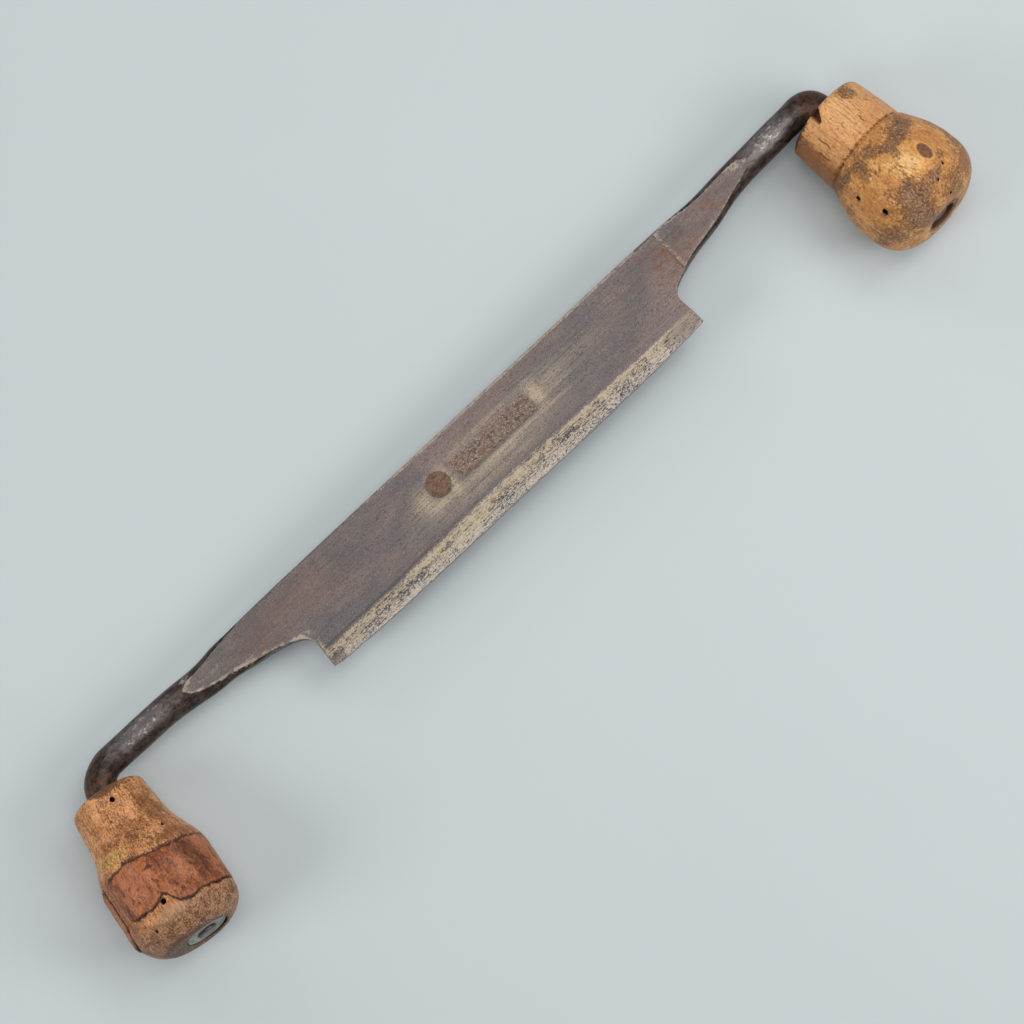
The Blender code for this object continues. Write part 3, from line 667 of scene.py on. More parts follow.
def makeIron():
    finish = newFinish("forgedIron")
    coords = placeCoords((bladeTilt, 0, 0))
    cloud = grain(coords, (50, 80, 80), 4.0, 0.6, 0.4)
    cloudWide = grain(coords, (20, 36, 36), 3.0, 0.55, 0.3)
    fine = grain(coords, (2700, 3200, 3200), 2.0, 0.65)
    lines = grain(coords, (34, 2300, 1300), 2.0, 0.6)
    speck = grain(coords, (1100, 1400, 1400), 3.0, 0.65, 0.2)
    mottle = grain(coords, (300, 460, 460), 5.0, 0.68, 0.5)
    pepper = grain(coords, (1200, 2500, 2500), 4.0, 0.74, 0.3)
    crust = grain(coords, (620, 800, 800), 5.0, 0.74, 0.4)
    pit = blended((pepper, 0.6), (fine, 0.25), (speck, 0.15))

    # grey brown skin of the ground face, its rust and the light rubbing round the panel
    colour = layers(ironSet["patinaBlue"], ironSet, ("patina", cloud, 0.34, 0.66),
                    ("patinaWarm", cloudWide, 0.46, 0.7), ("rustDeep", speck, 0.56, 0.7, 0.5))
    shade = between(blended((fine, 0.72), (lines, 0.25), (crust, 0.28)), 0.38, 0.86)
    shade = mixColour(shade, ironSet["shadeDark"], ironSet["shadeLight"])
    colour = mixColour(0.9, colour, shade, "MULTIPLY")
    rustShare = times(painted("rust"), between(blended((mottle, 0.6), (pepper, 0.5)), 0.48, 0.66))
    rubWay = blended((lines, 0.45), (fine, 0.55), (crust, 0.45), (pepper, 0.3))
    rubShare = times(painted("rub"), between(rubWay, 0.72, 0.94, 0.06, 1.3))
    colour = layers(colour, ironSet, ("rust", times(rustShare, 0.85, True)),
                    ("tan", times(rubShare, 0.92, True)))

    # rough floor of the panel, the rusty spot and the dark line above the bevel
    floor = layers(ironSet["floorDark"], ironSet, ("floor", crust, 0.44, 0.53),
                   ("spot", mottle, 0.52, 0.6, 0.7), ("tan", pepper, 0.54, 0.6, 0.9))
    orange = layers(ironSet["spot"], ironSet, ("rustDeep", crust, 0.44, 0.58),
                    ("tan", pepper, 0.56, 0.64, 0.6))
    spotWay = edged("spot", crust, 2.4)
    crestWay = edged("crest", blended((lines, 0.5), (crust, 0.5)), 3.0)
    colour = layers(colour, ironSet, (floor, edged("sunk", pit, 1.5), 0.3, 0.7, 0.85),
                    ("rustDeep", spotWay, 0.1, 0.4, 0.7), (orange, spotWay, 0.7, 1.0, 0.85),
                    ("pit", crestWay, 0.25, 1.0, 0.6))

    # pitted bevel
    low = painted("low")
    density = blended((pit, 1.0), (cloud, 0.3), (mottle, 0.45), (lines, 0.35))
    density = plus(sums("SUBTRACT", density, 0.55), between(low, 0.15, 0.45, 0.05, -0.01))
    strip = layers(ironSet["pit"], ironSet, ("brown", density, 0.41, 0.47),
                   ("bevelTan", density, 0.45, 0.53), ("pale", density, 0.54, 0.61, 0.8),
                   ("greyPale", plus(low, times(pit, 7.0)), 4.05, 4.6, 0.65),
                   ("dull", edged("dull", pit, 4.0), 0.3, 1.0, 0.72))

    # dark bar with a painted sheen on its top and flecks there that are partly wear and partly painted
    # glints, and the worn rims, with painted highlights along the step and the front band
    wearGlintWay = edged("wearAndSheen", blended((crust, 0.5), (pepper, 0.3), (lines, 0.2)), 6.5, 0.56)
    bar = layers(ironSet["bar"], ironSet, ("barBrown", mottle, 0.46, 0.6),
                 ("barRust", speck, 0.56, 0.68, 0.8),
                 ("barRust", edged("rust", crust, 4.0), 0.6, 1.0, 0.75),
                 # painted sheen and glinting flecks on the bar's top
                 ("sheen", edged("wearAndSheen", mottle, 1.2), 0.1, 0.8, 0.5), ("worn", wearGlintWay, 0.6, 0.95, 0.9))
    barShare = between(painted("bar"), 0.35, 0.75)
    rimWay = edged("rim", blended((pit, 0.6), (crust, 0.4)), 6.0)
    colour = layers(colour, ironSet, (strip, edged("bevel", pit, 3.0), 0.35, 0.65, 0.95), (bar, barShare),
                    # tan rims, mostly wear, with painted highlights at the step and along the front band
                    ("rimTan", rimWay, 0.6, 1.1, 0.85),
                    # bright cutting edge, partly a painted glint
                    ("bright", edged("edge", pit, 5.0, 0.6), 0.6, 0.9, 0.9))
    rough = plus(times(mottle, 0.3), times(rustShare, 0.2))
    rough = plus(rough, between(barShare, 0.0, 1.0, 0.32, 0.13), True)
    dress(colour, rough, 0.25, ((lines, 0.00003), (mottle, 0.00022), (pit, 0.00012)), 0.45)
    return finish


handIn(makeBlade(), "blade", makeIron())


# wooden knobs, in mm from the neck and degrees round from the top

knobSet = {
    "left": {
        "neckAt": (-164.017, 21.1544, 12.702), "axis": (-0.124463, -0.967041, 0.222126),
        "upright": (0.017945, 0.221636, 0.974964), "spike": (-0.070294, -0.972353, 0.222685),
        "spikeUp": (0.00553, 0.222854, 0.974836), "length": 56.7, "neck": 13.2, "collar": 14.7,
        "collarRun": 14.1, "slope": 0.1, "swellEnd": 30.2, "bulge": 19.3, "rounding": 9.6, "end": 8.8,
        "recess": 1.8, "rove": 7.5, "neckRise": (4.0, 11, 0.5),
    },
    "right": {
        "neckAt": (164.542, 23.6654, 15.189), "axis": (0.07524, -0.980065, 0.18388),
        "upright": (-0.024504, 0.18253, 0.982895), "spike": (0.06155, -0.981046, 0.183739),
        "spikeUp": (-0.021954, 0.182712, 0.982921), "length": 53.0, "neck": 15.6, "collar": 16.9,
        "collarRun": 19.1, "slope": 0.44, "swellEnd": 35.9, "bulge": 21.7, "rounding": 12.1, "end": 8.7,
        "recess": 3.2, "rove": 5.2, "neckRise": (9.0, 31, 0.45),
    },
}
leftKnob, rightKnob = knobSet["left"], knobSet["right"]
fitGap = 0.3
rimRound = 1.8
knobSteps = 300
knobStep = 0.36
knobAngles = np.radians(np.linspace(0, 360, knobSteps, endpoint=False))
boreStart = bladeSet["spike"] / 2 + fitGap
boreEnd = bladeSet["spikeEnd"] / 2 + fitGap


def turnGap(angle, middle):  # degrees from a middle, the short way round
    return (angle - middle + 180.0) % 360.0 - 180.0


def knobPlace(knob, spike=False):  # the knob's own axes in the world, in mm
    axis = Vector(knob["spike" if spike else "axis"])
    up = Vector(knob["spikeUp" if spike else "upright"])
    turned = Matrix((up, axis.cross(up), axis)).transposed().to_4x4()
    return Matrix.Translation(Vector(knob["neckAt"])) @ turned


def placed(points, place):
    place = np.array(place)
    return points @ place[:3, :3].T + place[:3, 3]


def knobRadius(knob, s):
    run = knob["swellEnd"] - knob["collarRun"]
    share = np.clip((s - knob["collarRun"]) / run, 0, 1)
    swell = knob["collar"] + (knob["bulge"] - knob["collar"]) * ease(share)
    swell = swell + knob["slope"] * run * share * (1 - share) ** 2
    collar = knob["neck"] + (knob["collar"] - knob["neck"]) * s / knob["collarRun"]
    radius = np.where(s < knob["collarRun"], collar, swell)
    reach = np.clip((s - knob["length"] + knob["rounding"]) / knob["rounding"], 0, 1)
    ending = knob["end"] + (knob["bulge"] - knob["end"]) * np.sqrt(1 - reach ** 2)
    return np.where(reach > 0, np.minimum(radius, ending), radius)


def endHeight(knob, r):
    share = np.clip((r - knob["end"]) / (knob["bulge"] - knob["end"]), 0, 1)
    return knob["length"] - knob["rounding"] * (1 - np.sqrt(1 - share ** 2))


def turnedPoints(knob, sideShape):  # rows of the knob's closed outline, turned round
    body, spike = knobPlace(knob), knobPlace(knob, True)
    length, rounding = knob["length"], knob["rounding"]
    rows = []

    def addRow(points, place=body, inside=0.0):
        x, y, s = points.T
        rows.append((placed(points, place), np.hypot(x, y), np.degrees(np.arctan2(y, x)), s,
                     np.full(knobSteps, inside)))

    height, seed, rise = knob["neckRise"]
    for r in np.linspace(boreStart, knob["neck"] - rimRound, 16):
        lift = rise * wobble(roundOf(r, knobAngles, height), 0.16, seed)
        addRow(roundOf(r, knobAngles, np.maximum(0.0, lift) * ease((r - 5) / 6)))
    for i in range(1, 8):
        bent = math.pi / 2 * i / 8
        s = rimRound * (1 - math.cos(bent))
        r = knobRadius(knob, rimRound) - rimRound * (1 - math.sin(bent))
        r = r + sideShape(s, knobAngles) * ease(i / 4)
        addRow(roundOf(r, knobAngles, s))
    reach = np.arange(rimRound, length - rounding, knobStep)
    last = math.asin(min(1.0, (endHeight(knob, 13.0) - length + rounding) / rounding))
    for s in [*reach, *(length - rounding + rounding * np.sin(np.linspace(0, last, 34)))]:
        outer = roundOf(knobRadius(knob, s) + sideShape(s, knobAngles), knobAngles, s)
        addRow(outer)
    recess = knob["rove"] + fitGap
    inner = placed(placed(roundOf(recess, knobAngles, length), spike), body.inverted())
    for share in np.linspace(0, 1, 18)[1:]:
        x, y = (outer + (inner - outer) * share)[:, :2].T
        drop = 0.06 + 0.2 * ease((share - 0.8) / 0.2) ** 2
        addRow(threeOf(x, y, endHeight(knob, np.hypot(x, y)) - drop))
    depth = length - knob["recess"]
    inside = [(recess, s) for s in np.linspace(length - 0.8, depth, 5)]
    inside += [(r, depth) for r in np.linspace(recess, boreEnd, 5)[1:]]
    for share in np.linspace(1, 0, 8)[1:-1]:
        inside.append((boreStart + (boreEnd - boreStart) * share, depth * share))
    for r, s in inside:
        addRow(roundOf(r, knobAngles, s), spike, 1.0)
    points, r, angle, s, inside = (np.array(values) for values in zip(*rows))
    return points.transpose((1, 0, 2)) * mm, r.T, turnGap(angle.T, 0), s.T, inside.T


def pitDepth(knob, s, angle, pits):  # worm holes: distance, angle, radius and depth of each
    depth = 0.0
    for at, way, size, deep in pits:
        across = np.radians(turnGap(angle, way)) * knobRadius(knob, at)
        slope = (knobRadius(knob, at + 0.1) - knobRadius(knob, at - 0.1)) / 0.2
        far = np.hypot((s - at) * math.hypot(1.0, slope), across)
        depth = np.maximum(depth, deep * ease((size - far) / 0.5 + 0.5))
    return depth


def knobCoords(knob):  # object coordinates in the knob's own frame, Z along it
    place = knobPlace(knob)
    turned = place.to_3x3().transposed()
    return placeCoords(turned.to_euler("XYZ"), -(turned @ place.translation) * mm)


# left knob: a pear with its bark on

pearSet = {
    "barkTop": ((-287, 27.6), (-250, 28.4), (-200, 27.4), (-150, 28.2), (-105, 28.6), (-64, 28.8),
                (-45, 29.0), (-35, 29.1), (-23, 29.0), (-7, 28.2), (3, 27.4), (16, 26.5), (28, 26.7),
                (43, 27.3), (49, 30.0)),
    "barkFoot": ((-298, 43.0), (-292, 48.5), (-284, 49.6), (-240, 48.2), (-200, 47.2), (-150, 47.6),
                 (-110, 47.0), (-85, 46.6), (-54, 47.8), (-40, 47.6), (-24, 48.5), (-12, 47.9), (-8, 46.0),
                 (-4, 43.4), (0, 42.6), (5, 43.6), (12, 44.7), (27, 44.5), (42, 43.7), (49, 41.0)),
    "split": (47.0, -300.0),  # where the bark ends on each side of its split, in degrees
    "strip": (7.0, 26.0, 50.0, 2.0),  # half width in degrees, both ends and soft run of the dark strip in it
    "splitMiddle": 53.5, "groove": 0.9, "proud": 0.3, "noiseRound": 18,
    "holes": ((5.4, -12, 0.75, 3.0), (44.6, 3, 0.85, 3.2), (50.7, 28, 0.45, 1.6), (21.6, -45, 0.45, 1.6),
              (33.0, 140, 0.7, 2.5), (18.0, 100, 0.6, 2.0)),
    "worn": ((0.3, 0.055, 12), (0.12, 0.22, 13), (0.05, 0.8, 14)), "wornDown": 0.2,
    "flat": ((53.0, 85.0, 6.0, 38.0, 0.9),),
    # patches of colour: distance and angle of the middle, half sizes, strength
    "olive": ((22.5, 20, 3.5, 22, 1.0), (22.0, -22, 2.0, 16, 0.7), (20.0, 60, 6.0, 25, 0.7),
              (51, 10, 3.5, 40, 0.55), (22, 170, 5, 60, 0.6)),
    # stains of the wood, and painted shade: the patches at negative angles darken the side away from the
    # light
    "stainAndShade": ((18.5, 0, 5.0, 44, 0.85), (11.0, 34, 4.0, 16, 0.4), (6.0, -48, 9.0, 24, 0.75),
              (16.0, -58, 8.0, 20, 0.8), (14.0, 0, 3.0, 14, 0.4), (25.5, 55, 4.0, 18, 0.6),
              (26.0, -30, 2.0, 24, 0.9), (27.0, -60, 3.0, 20, 0.9), (26.0, 8, 1.4, 12, 0.5),
              (4.0, 70, 4.0, 20, 0.5), (12, 150, 8, 40, 0.6), (51, -75, 4, 25, 0.7), (53, 70, 3, 25, 0.6)),
    "grey": ((49.0, 4, 3.0, 22, 0.8), (48.0, -30, 1.4, 24, 0.7), (55, 60, 3, 40, 0.5)),
    "rusty": ((0.4, -12, 2.5, 26, 3.0),),
    # a darker patch on one side round the recess
    "endDarkening": ((10.5, 0, 2.6, 50.0, 0.75),),  # distance from the axis here
}


def barkLine(points, angle):  # a ragged edge of the bark, in mm from the neck
    turned = np.where(angle > pearSet["split"][0] + 6.5, angle - 360.0, angle)
    ways, places = zip(*points)
    line = np.interp(turned, ways, places)
    for reach, share in ((9, 0.45), (30, 0.25)):
        line = line + share * wobble(roundOf(reach, np.radians(turned), places[0]), 1.0, 0)
    return line


pearAngles = np.degrees(knobAngles)
pearAngles = np.where(pearAngles > 180, pearAngles - 360, pearAngles)
pearTop = barkLine(pearSet["barkTop"], pearAngles)
pearFoot = barkLine(pearSet["barkFoot"], pearAngles)
pearIn = np.where(turnGap(pearAngles, pearSet["splitMiddle"]) > 0, turnGap(pearAngles, pearSet["split"][1]),
                  turnGap(pearSet["split"][0], pearAngles))
pearIn = ease(np.clip(pearIn, -2, 2) / 2.0 + 0.5)


def pearSide(s, angles):
    place, way = roundOf(pearSet["noiseRound"], angles, s), np.degrees(angles)
    worn = uneven(place, pearSet["worn"]) - pearSet["wornDown"]
    worn = worn - patches(s, turnGap(way, 0), pearSet["flat"])
    groove = ease((s - pearTop) / 0.5 + 0.5) * ease((pearFoot - s) / 0.5 + 0.5) * pearIn
    return worn * (1 - groove) - pearSet["groove"] * groove - pitDepth(leftKnob, s, way, pearSet["holes"])


def makePear():
    points, r, angle, s, inside = turnedPoints(leftKnob, pearSide)
    outside = inside < 0.5
    gap = np.maximum(0.0, np.maximum(pearTop[:, None] - s, s - pearFoot[:, None]))
    wide, first, last, soft = pearSet["strip"]
    strip = bell(turnGap(angle, pearSet["splitMiddle"]), 0, wide)
    strip = strip * ease((s - first) / soft) * ease((last - s) / soft)
    holes = np.clip(pitDepth(leftKnob, s, angle, pearSet["holes"]) / 0.7, 0, 1)
    # darker at the neck's rim, towards the end and round the recess
    endDark = 0.35 * ease((13.0 - r) / 4.0) + patches(r, turnGap(angle, 45), pearSet["endDarkening"])
    rimDark = 0.8 * ease((1.8 - s) / 1.8) + 0.5 * ease((s - 54.5) / 2.0) + endDark * (s > 50)
    masks = {key: patches(s, angle, pearSet[key]) for key in ("olive", "stainAndShade", "grey", "rusty")}
    masks["rusty"] += ease((8.5 - r) / 4.0) * (s < 1.0)
    masks.update(outline=bell(gap, 0, 1.0) * pearIn[:, None] * outside, strip=strip * outside,
                 # hole darkens the worm holes and the inside of the recess and bore, as painted shade
                 hole=np.clip(holes + inside, 0, 1), rimDark=np.clip(rimDark, 0, 1),
                 ending=ease((s - 46.0) / 5.0))
    return ringPiece("pearKnob", points, masks, 60)


pearWoodSet = {
    "base": (0.6, 0.252, 0.1), "pale": (0.83, 0.4, 0.175), "amber": (0.54, 0.185, 0.055),
    "dark": (0.088, 0.033, 0.013), "mesh": (0.265, 0.098, 0.032), "glint": (0.83, 0.48, 0.205),
    "olive": (0.72, 0.43, 0.13), "grey": (0.56, 0.38, 0.23), "foot": (0.43, 0.285, 0.185),
    # the stain colour serves both the stains and the painted shade
    "stainAndShade": (0.26, 0.102, 0.04), "strip": (0.16, 0.062, 0.028), "rim": (0.085, 0.04, 0.021),
    # hole is the near black of painted shade in the hollows
    "outline": (0.075, 0.036, 0.024), "hole": (0.012, 0.007, 0.005), "rusty": (0.11, 0.045, 0.02),
}


def makePearWood():
    finish = newFinish("pearWood")
    coords = knobCoords(leftKnob)
    cloud = grain(coords, (110, 110, 70), 4.0, 0.6, 0.3)
    fleck = grain(coords, (1900, 1900, 1250), 4.0, 0.7, 0.3)
    fine = grain(coords, (3300, 3300, 2200), 3.0, 0.7)
    fibre = grain(coords, (1300, 1300, 160), 3.0, 0.65, 0.3)
    blotch = grain(coords, (330, 330, 250), 6.0, 0.72, 0.6)
    ending = painted("ending")
    mixed = blended((blotch, 0.6), (fleck, 0.4))
    speckle = blended((fleck, 0.38), (fine, 0.22), (blotch, 0.26), (fibre, 0.14), (ending, 0.03))
    stripShare = times(painted("strip"), between(fleck, 0.4, 0.6, 0.3, 0.9))
    outline = between(edged("outline", blended((blotch, 0.7), (fleck, 0.3)), 3.2), 0.5, 0.95)
    outline = times(outline, between(blotch, 0.4, 0.56, 0.45, 0.9))
    colour = layers(
        pearWoodSet["base"], pearWoodSet, ("pale", cloud, 0.35, 0.62), ("amber", fibre, 0.52, 0.64, 0.6),
        ("olive", edged("olive", blotch, 2.0), 0.45, 0.85, 0.85), ("foot", times(ending, 0.7)),
        # stains, and painted shade on the side away from the light
        ("stainAndShade", edged("stainAndShade", mixed, 4.2), 0.25, 1.1, 0.8), ("mesh", speckle, 0.46, 0.52, 0.6),
        ("dark", speckle, 0.515, 0.575, 0.86), ("glint", speckle, 0.46, 0.4, 0.55),
        ("grey", edged("grey", blended((blotch, 0.5), (fleck, 0.5)), 5.0), 0.45, 1.2, 0.6),
        ("strip", stripShare), ("rim", edged("rimDark", speckle, 6.0), 0.3, 1.15, 0.85),
        ("outline", outline), ("rusty", edged("rusty", mixed, 5.0), 0.5, 1.3, 0.85),
        # painted shade in the holes, the recess and the bore
        ("hole", painted("hole"), 0.15, 0.55))
    dress(colour, plus(times(speckle, 0.4), 0.24), 0.25, ((blotch, 0.00035), (speckle, -0.00028)))
    return finish


handIn(makePear(), "left_handle", makePearWood())


# bark round the pear

barkSet = {
    "steps": 420, "rows": 58, "thick": 0.9, "gap": 0.3, "cutStep": 0.25, "wornDown": 0.16,
    "worn": ((0.1, 0.35, 21),), "ribs": ((0.1, 0.9, 22),), "ribStretch": (1, 1, 0.25), "edgeRun": 1.2,
    "edgeDrop": 0.35, "holeDrop": 0.25, "noiseRound": 19,
    # dark patches of the bark, partly stains and partly painted shade on the side away from the light
    "stainAndShade": ((38.0, -52, 12.0, 20, 0.8), (32.0, -36, 3.0, 12, 0.5), (41.0, 40, 5.0, 5, 0.8),
              (32.5, -2, 0.7, 6, 1.2), (38, 100, 8, 20, 0.6), (36, -150, 9, 30, 0.8)),
}


def makeBark():
    ways = np.linspace(*pearSet["split"], barkSet["steps"])
    wrapped = np.where(ways < -180, ways + 360, ways)
    start = (barkLine(pearSet["barkTop"], wrapped) + barkSet["gap"])[:, None]
    stop = (barkLine(pearSet["barkFoot"], wrapped) - barkSet["gap"])[:, None]
    s = start + (stop - start) * np.linspace(0, 1, barkSet["rows"])
    count = np.arange(len(ways))
    cut = np.minimum(count, count[::-1])[:, None] * barkSet["cutStep"]
    edge = np.minimum(np.minimum(s - start, stop - s), cut)
    way = ways[:, None] + 0 * s
    turn = np.radians(way)
    place = roundOf(barkSet["noiseRound"], turn, s)
    ribbed = place * np.array(barkSet["ribStretch"])
    bumps = uneven(place, barkSet["worn"]) + uneven(ribbed, barkSet["ribs"]) - barkSet["wornDown"]
    holes = pitDepth(leftKnob, s, way, pearSet["holes"])
    proud = knobRadius(leftKnob, s) + pearSet["proud"]
    outer = proud + np.minimum(0.0, bumps) - barkSet["holeDrop"] * holes
    outer = outer - barkSet["edgeDrop"] * ease(1 - edge / barkSet["edgeRun"])

    def both(upper, lower):  # a row over the outside and back along the inside
        return np.concatenate([upper, lower[:, ::-1]], 1)

    r = both(outer, proud - barkSet["thick"])
    turn, s, way, holes = (both(values, values) for values in (turn, s, way, holes))
    rings = placed(roundOf(r, turn, s), knobPlace(leftKnob)) * mm
    # hole marks the worm holes, darkened as painted shade
    masks = {"edge": bell(both(edge, 0 * edge), 0, 0.75), "hole": np.clip(holes / 0.7, 0, 1),
             "stainAndShade": patches(s, turnGap(way, 0), barkSet["stainAndShade"])}
    return ringPiece("barkBand", rings, masks, 50, closed=False)


barkColourSet = {
    "base": (0.255, 0.072, 0.028), "pale": (0.53, 0.2, 0.098), "dark": (0.066, 0.022, 0.011),
    "red": (0.56, 0.175, 0.048), "plum": (0.2, 0.085, 0.064), "edge": (0.055, 0.026, 0.018),
    # hole is the near black of painted shade in the holes
    "scuff": (0.64, 0.26, 0.11), "hole": (0.012, 0.006, 0.004),
}


def makeBarkFinish():
    finish = newFinish("polishedBark")
    coords = knobCoords(leftKnob)
    cloud = grain(coords, (130, 130, 80), 5.0, 0.66, 0.6)
    band = grain(coords, (240, 240, 100), 5.0, 0.66, 0.8)
    streak = grain(coords, (800, 800, 240), 5.0, 0.7, 0.5)
    blotch = grain(coords, (430, 430, 300), 6.0, 0.72, 0.7)
    fine = grain(coords, (3000, 3000, 1500), 3.0, 0.7)
    fleck = grain(coords, (1500, 1500, 1000), 4.0, 0.7, 0.3)
    colour = layers(
        barkColourSet["base"], barkColourSet, ("pale", cloud, 0.4, 0.6), ("red", band, 0.52, 0.62, 0.75),
        ("red", streak, 0.54, 0.64, 0.7), ("plum", blotch, 0.47, 0.38, 0.75),
        ("dark", streak, 0.46, 0.39, 0.75), ("scuff", fleck, 0.55, 0.62, 0.65),
        # darker where the bark's stains and painted shade are
        ("dark", edged("stainAndShade", blended((blotch, 0.6), (streak, 0.4)), 3.0), 0.4, 0.95, 0.8),
        ("edge", blotch, 0.61, 0.67, 0.85), ("dark", fine, 0.52, 0.6, 0.5),
        ("edge", edged("edge", blended((blotch, 0.7), (fleck, 0.3)), 3.2), 0.45, 0.95, 0.9),
        # painted shade in the holes
        ("hole", painted("hole"), 0.1, 0.45))
    dress(colour, plus(times(blotch, 0.4), 0.22), 0.2,
          ((streak, 0.00025), (blotch, 0.0003), (fleck, 0.00012)))
    return finish


handIn(makeBark(), "left_bark_band", makeBarkFinish())


# right knob: a bulb on a collar

bulbSet = {
    "worn": ((0.34, 0.06, 32), (0.14, 0.2, 33), (0.05, 0.9, 34)), "wornDown": 0.22, "noiseRound": 20,
    "crease": (18.8, 0.65, 1.0),  # distance, half width and depth of the crease under the collar
    "chip": (24.0, 7.0, 4.6, 3.6),  # where a splinter is gone beside the tang: two angles, length, depth
    "holes": ((30.6, 54, 0.75, 3.0), (40.9, 45, 0.85, 3.0), (52.1, -19, 0.5, 1.5), (44.8, -25, 0.4, 1.2),
              (47.5, -10, 0.35, 1.0), (34.0, 170, 0.7, 2.5), (40.0, 120, 0.6, 2.0)),
    "cracks": ((14.0, -14, 5.0, 0.35), (9.5, 38, 7.0, 0.35), (12.0, 52, 6.0, 0.3), (11.0, 8, 4.0, 0.2),
               (19.0, 43, 2.2, 0.6)),  # distance, angle, length and depth
    "knot": (37.9, -21.0, 2.45, 3.8),  # distance, angle, half width and half length
    # painted highlights: soft patches where the bulb and the collar look lit
    "light": ((36, -5, 6, 16, 1.0), (12, 2, 7, 26, 0.8), (31, 35, 4, 14, 0.5)),
    # dark patches of the wood; those along the sides and towards the end are partly painted shade
    "dark": ((3.0, -28, 4.0, 14, 1.6), (2.0, 58, 3.0, 16, 1.5), (10.0, 78, 8.0, 10, 1.0),
             (15.5, 60, 3.0, 6, 0.8), (36.0, -62, 9.0, 14, 0.6), (46.0, -54, 5.0, 14, 0.6),
             (28.4, -22, 2.4, 9, 0.9), (28.4, 31, 2.4, 8, 0.8), (31.0, 22, 2.0, 6, 0.7),
             (45.6, -12, 2.0, 7, 0.8), (48.9, 26, 3.5, 14, 0.8), (52.5, 40, 3.0, 25, 0.55),
             (48.4, 61, 3.0, 14, 0.6), (53.5, -34, 3.0, 20, 0.7), (22.3, -38, 2.3, 12, 0.9),
             (22.0, -14, 1.6, 9, 0.7), (22.3, 10, 1.8, 10, 0.7), (22.8, 46, 2.2, 12, 1.0),
             (28.2, -10, 2.6, 9, 1.1), (25.5, -36, 2.4, 12, 1.0), (27.0, 4, 2.2, 7, 1.0),
             (24.0, 29, 2.6, 8, 1.1), (31.5, -2, 3.0, 5, 0.8), (44.6, 24, 4.6, 14, 1.2),
             (40.5, 12, 3.0, 8, 0.95), (46.0, 2, 3.0, 14, 1.0), (25.0, -20, 2.2, 12, 0.8),
             (25.0, 14, 2.4, 9, 0.8), (38.0, 32, 2.0, 6, 0.6), (35.0, 8, 2.0, 5, 0.5),
             (50.0, 30, 3.0, 16, 1.0), (42.8, -29, 2.4, 5, 0.9), (46.5, 60, 3.0, 12, 0.6),
             (40.9, 47, 1.0, 5, 1.0), (11.0, 62, 7.0, 6, 0.6), (6.0, -40, 5.0, 8, 0.8),
             (22.0, 62, 3.0, 10, 1.0), (30, 75, 3.0, 10, 0.7), (44, 80, 4.0, 14, 0.9),
             (49.5, -30, 2.5, 20, 0.7), (34, 140, 6, 20, 0.9), (45, 170, 5, 25, 1.0),
             (28, -120, 4, 20, 0.9), (44, -100, 4, 20, 0.9), (24, -80, 3, 14, 0.8)),
}


def crackDepth(s, angle):
    deep = 0.0
    for at, way, length, depth in bulbSet["cracks"]:
        off = np.abs(np.radians(turnGap(angle, way)) * 16.5 + 0.25 * np.sin(s * 1.3 + way))
        deep = np.maximum(deep, depth * ease((length / 2 - np.abs(s - at)) / 1.5) * ease(1.3 - off / 0.22))
    return deep


def chipDepth(s, angle):
    first, last, length, deep = bulbSet["chip"]
    share = np.clip(s / length, 0, 1)
    lower = ease((first + 1.0 - turnGap(angle, 0)) / 2.5)
    upper = ease((turnGap(angle, 0) - (last + (first - last - 4) * share)) / 3.0)
    return deep * lower * upper * ease((1 - share) / 0.25)


def bulbSide(s, angles):
    place, way = roundOf(bulbSet["noiseRound"], angles, s), np.degrees(angles)
    worn = uneven(place, bulbSet["worn"]) - bulbSet["wornDown"]
    at, half, deep = bulbSet["crease"]
    wave = at + 0.35 * wobble(place * np.array((1, 1, 0)), 0.14, 35)
    crease = deep * bell(s, wave, half) * (0.55 + 0.45 * np.clip(2 * wobble(place, 0.15, 36), -1, 1))
    holes = pitDepth(rightKnob, s, way, bulbSet["holes"])
    return worn - crease - crackDepth(s, way) - chipDepth(s, way) - holes


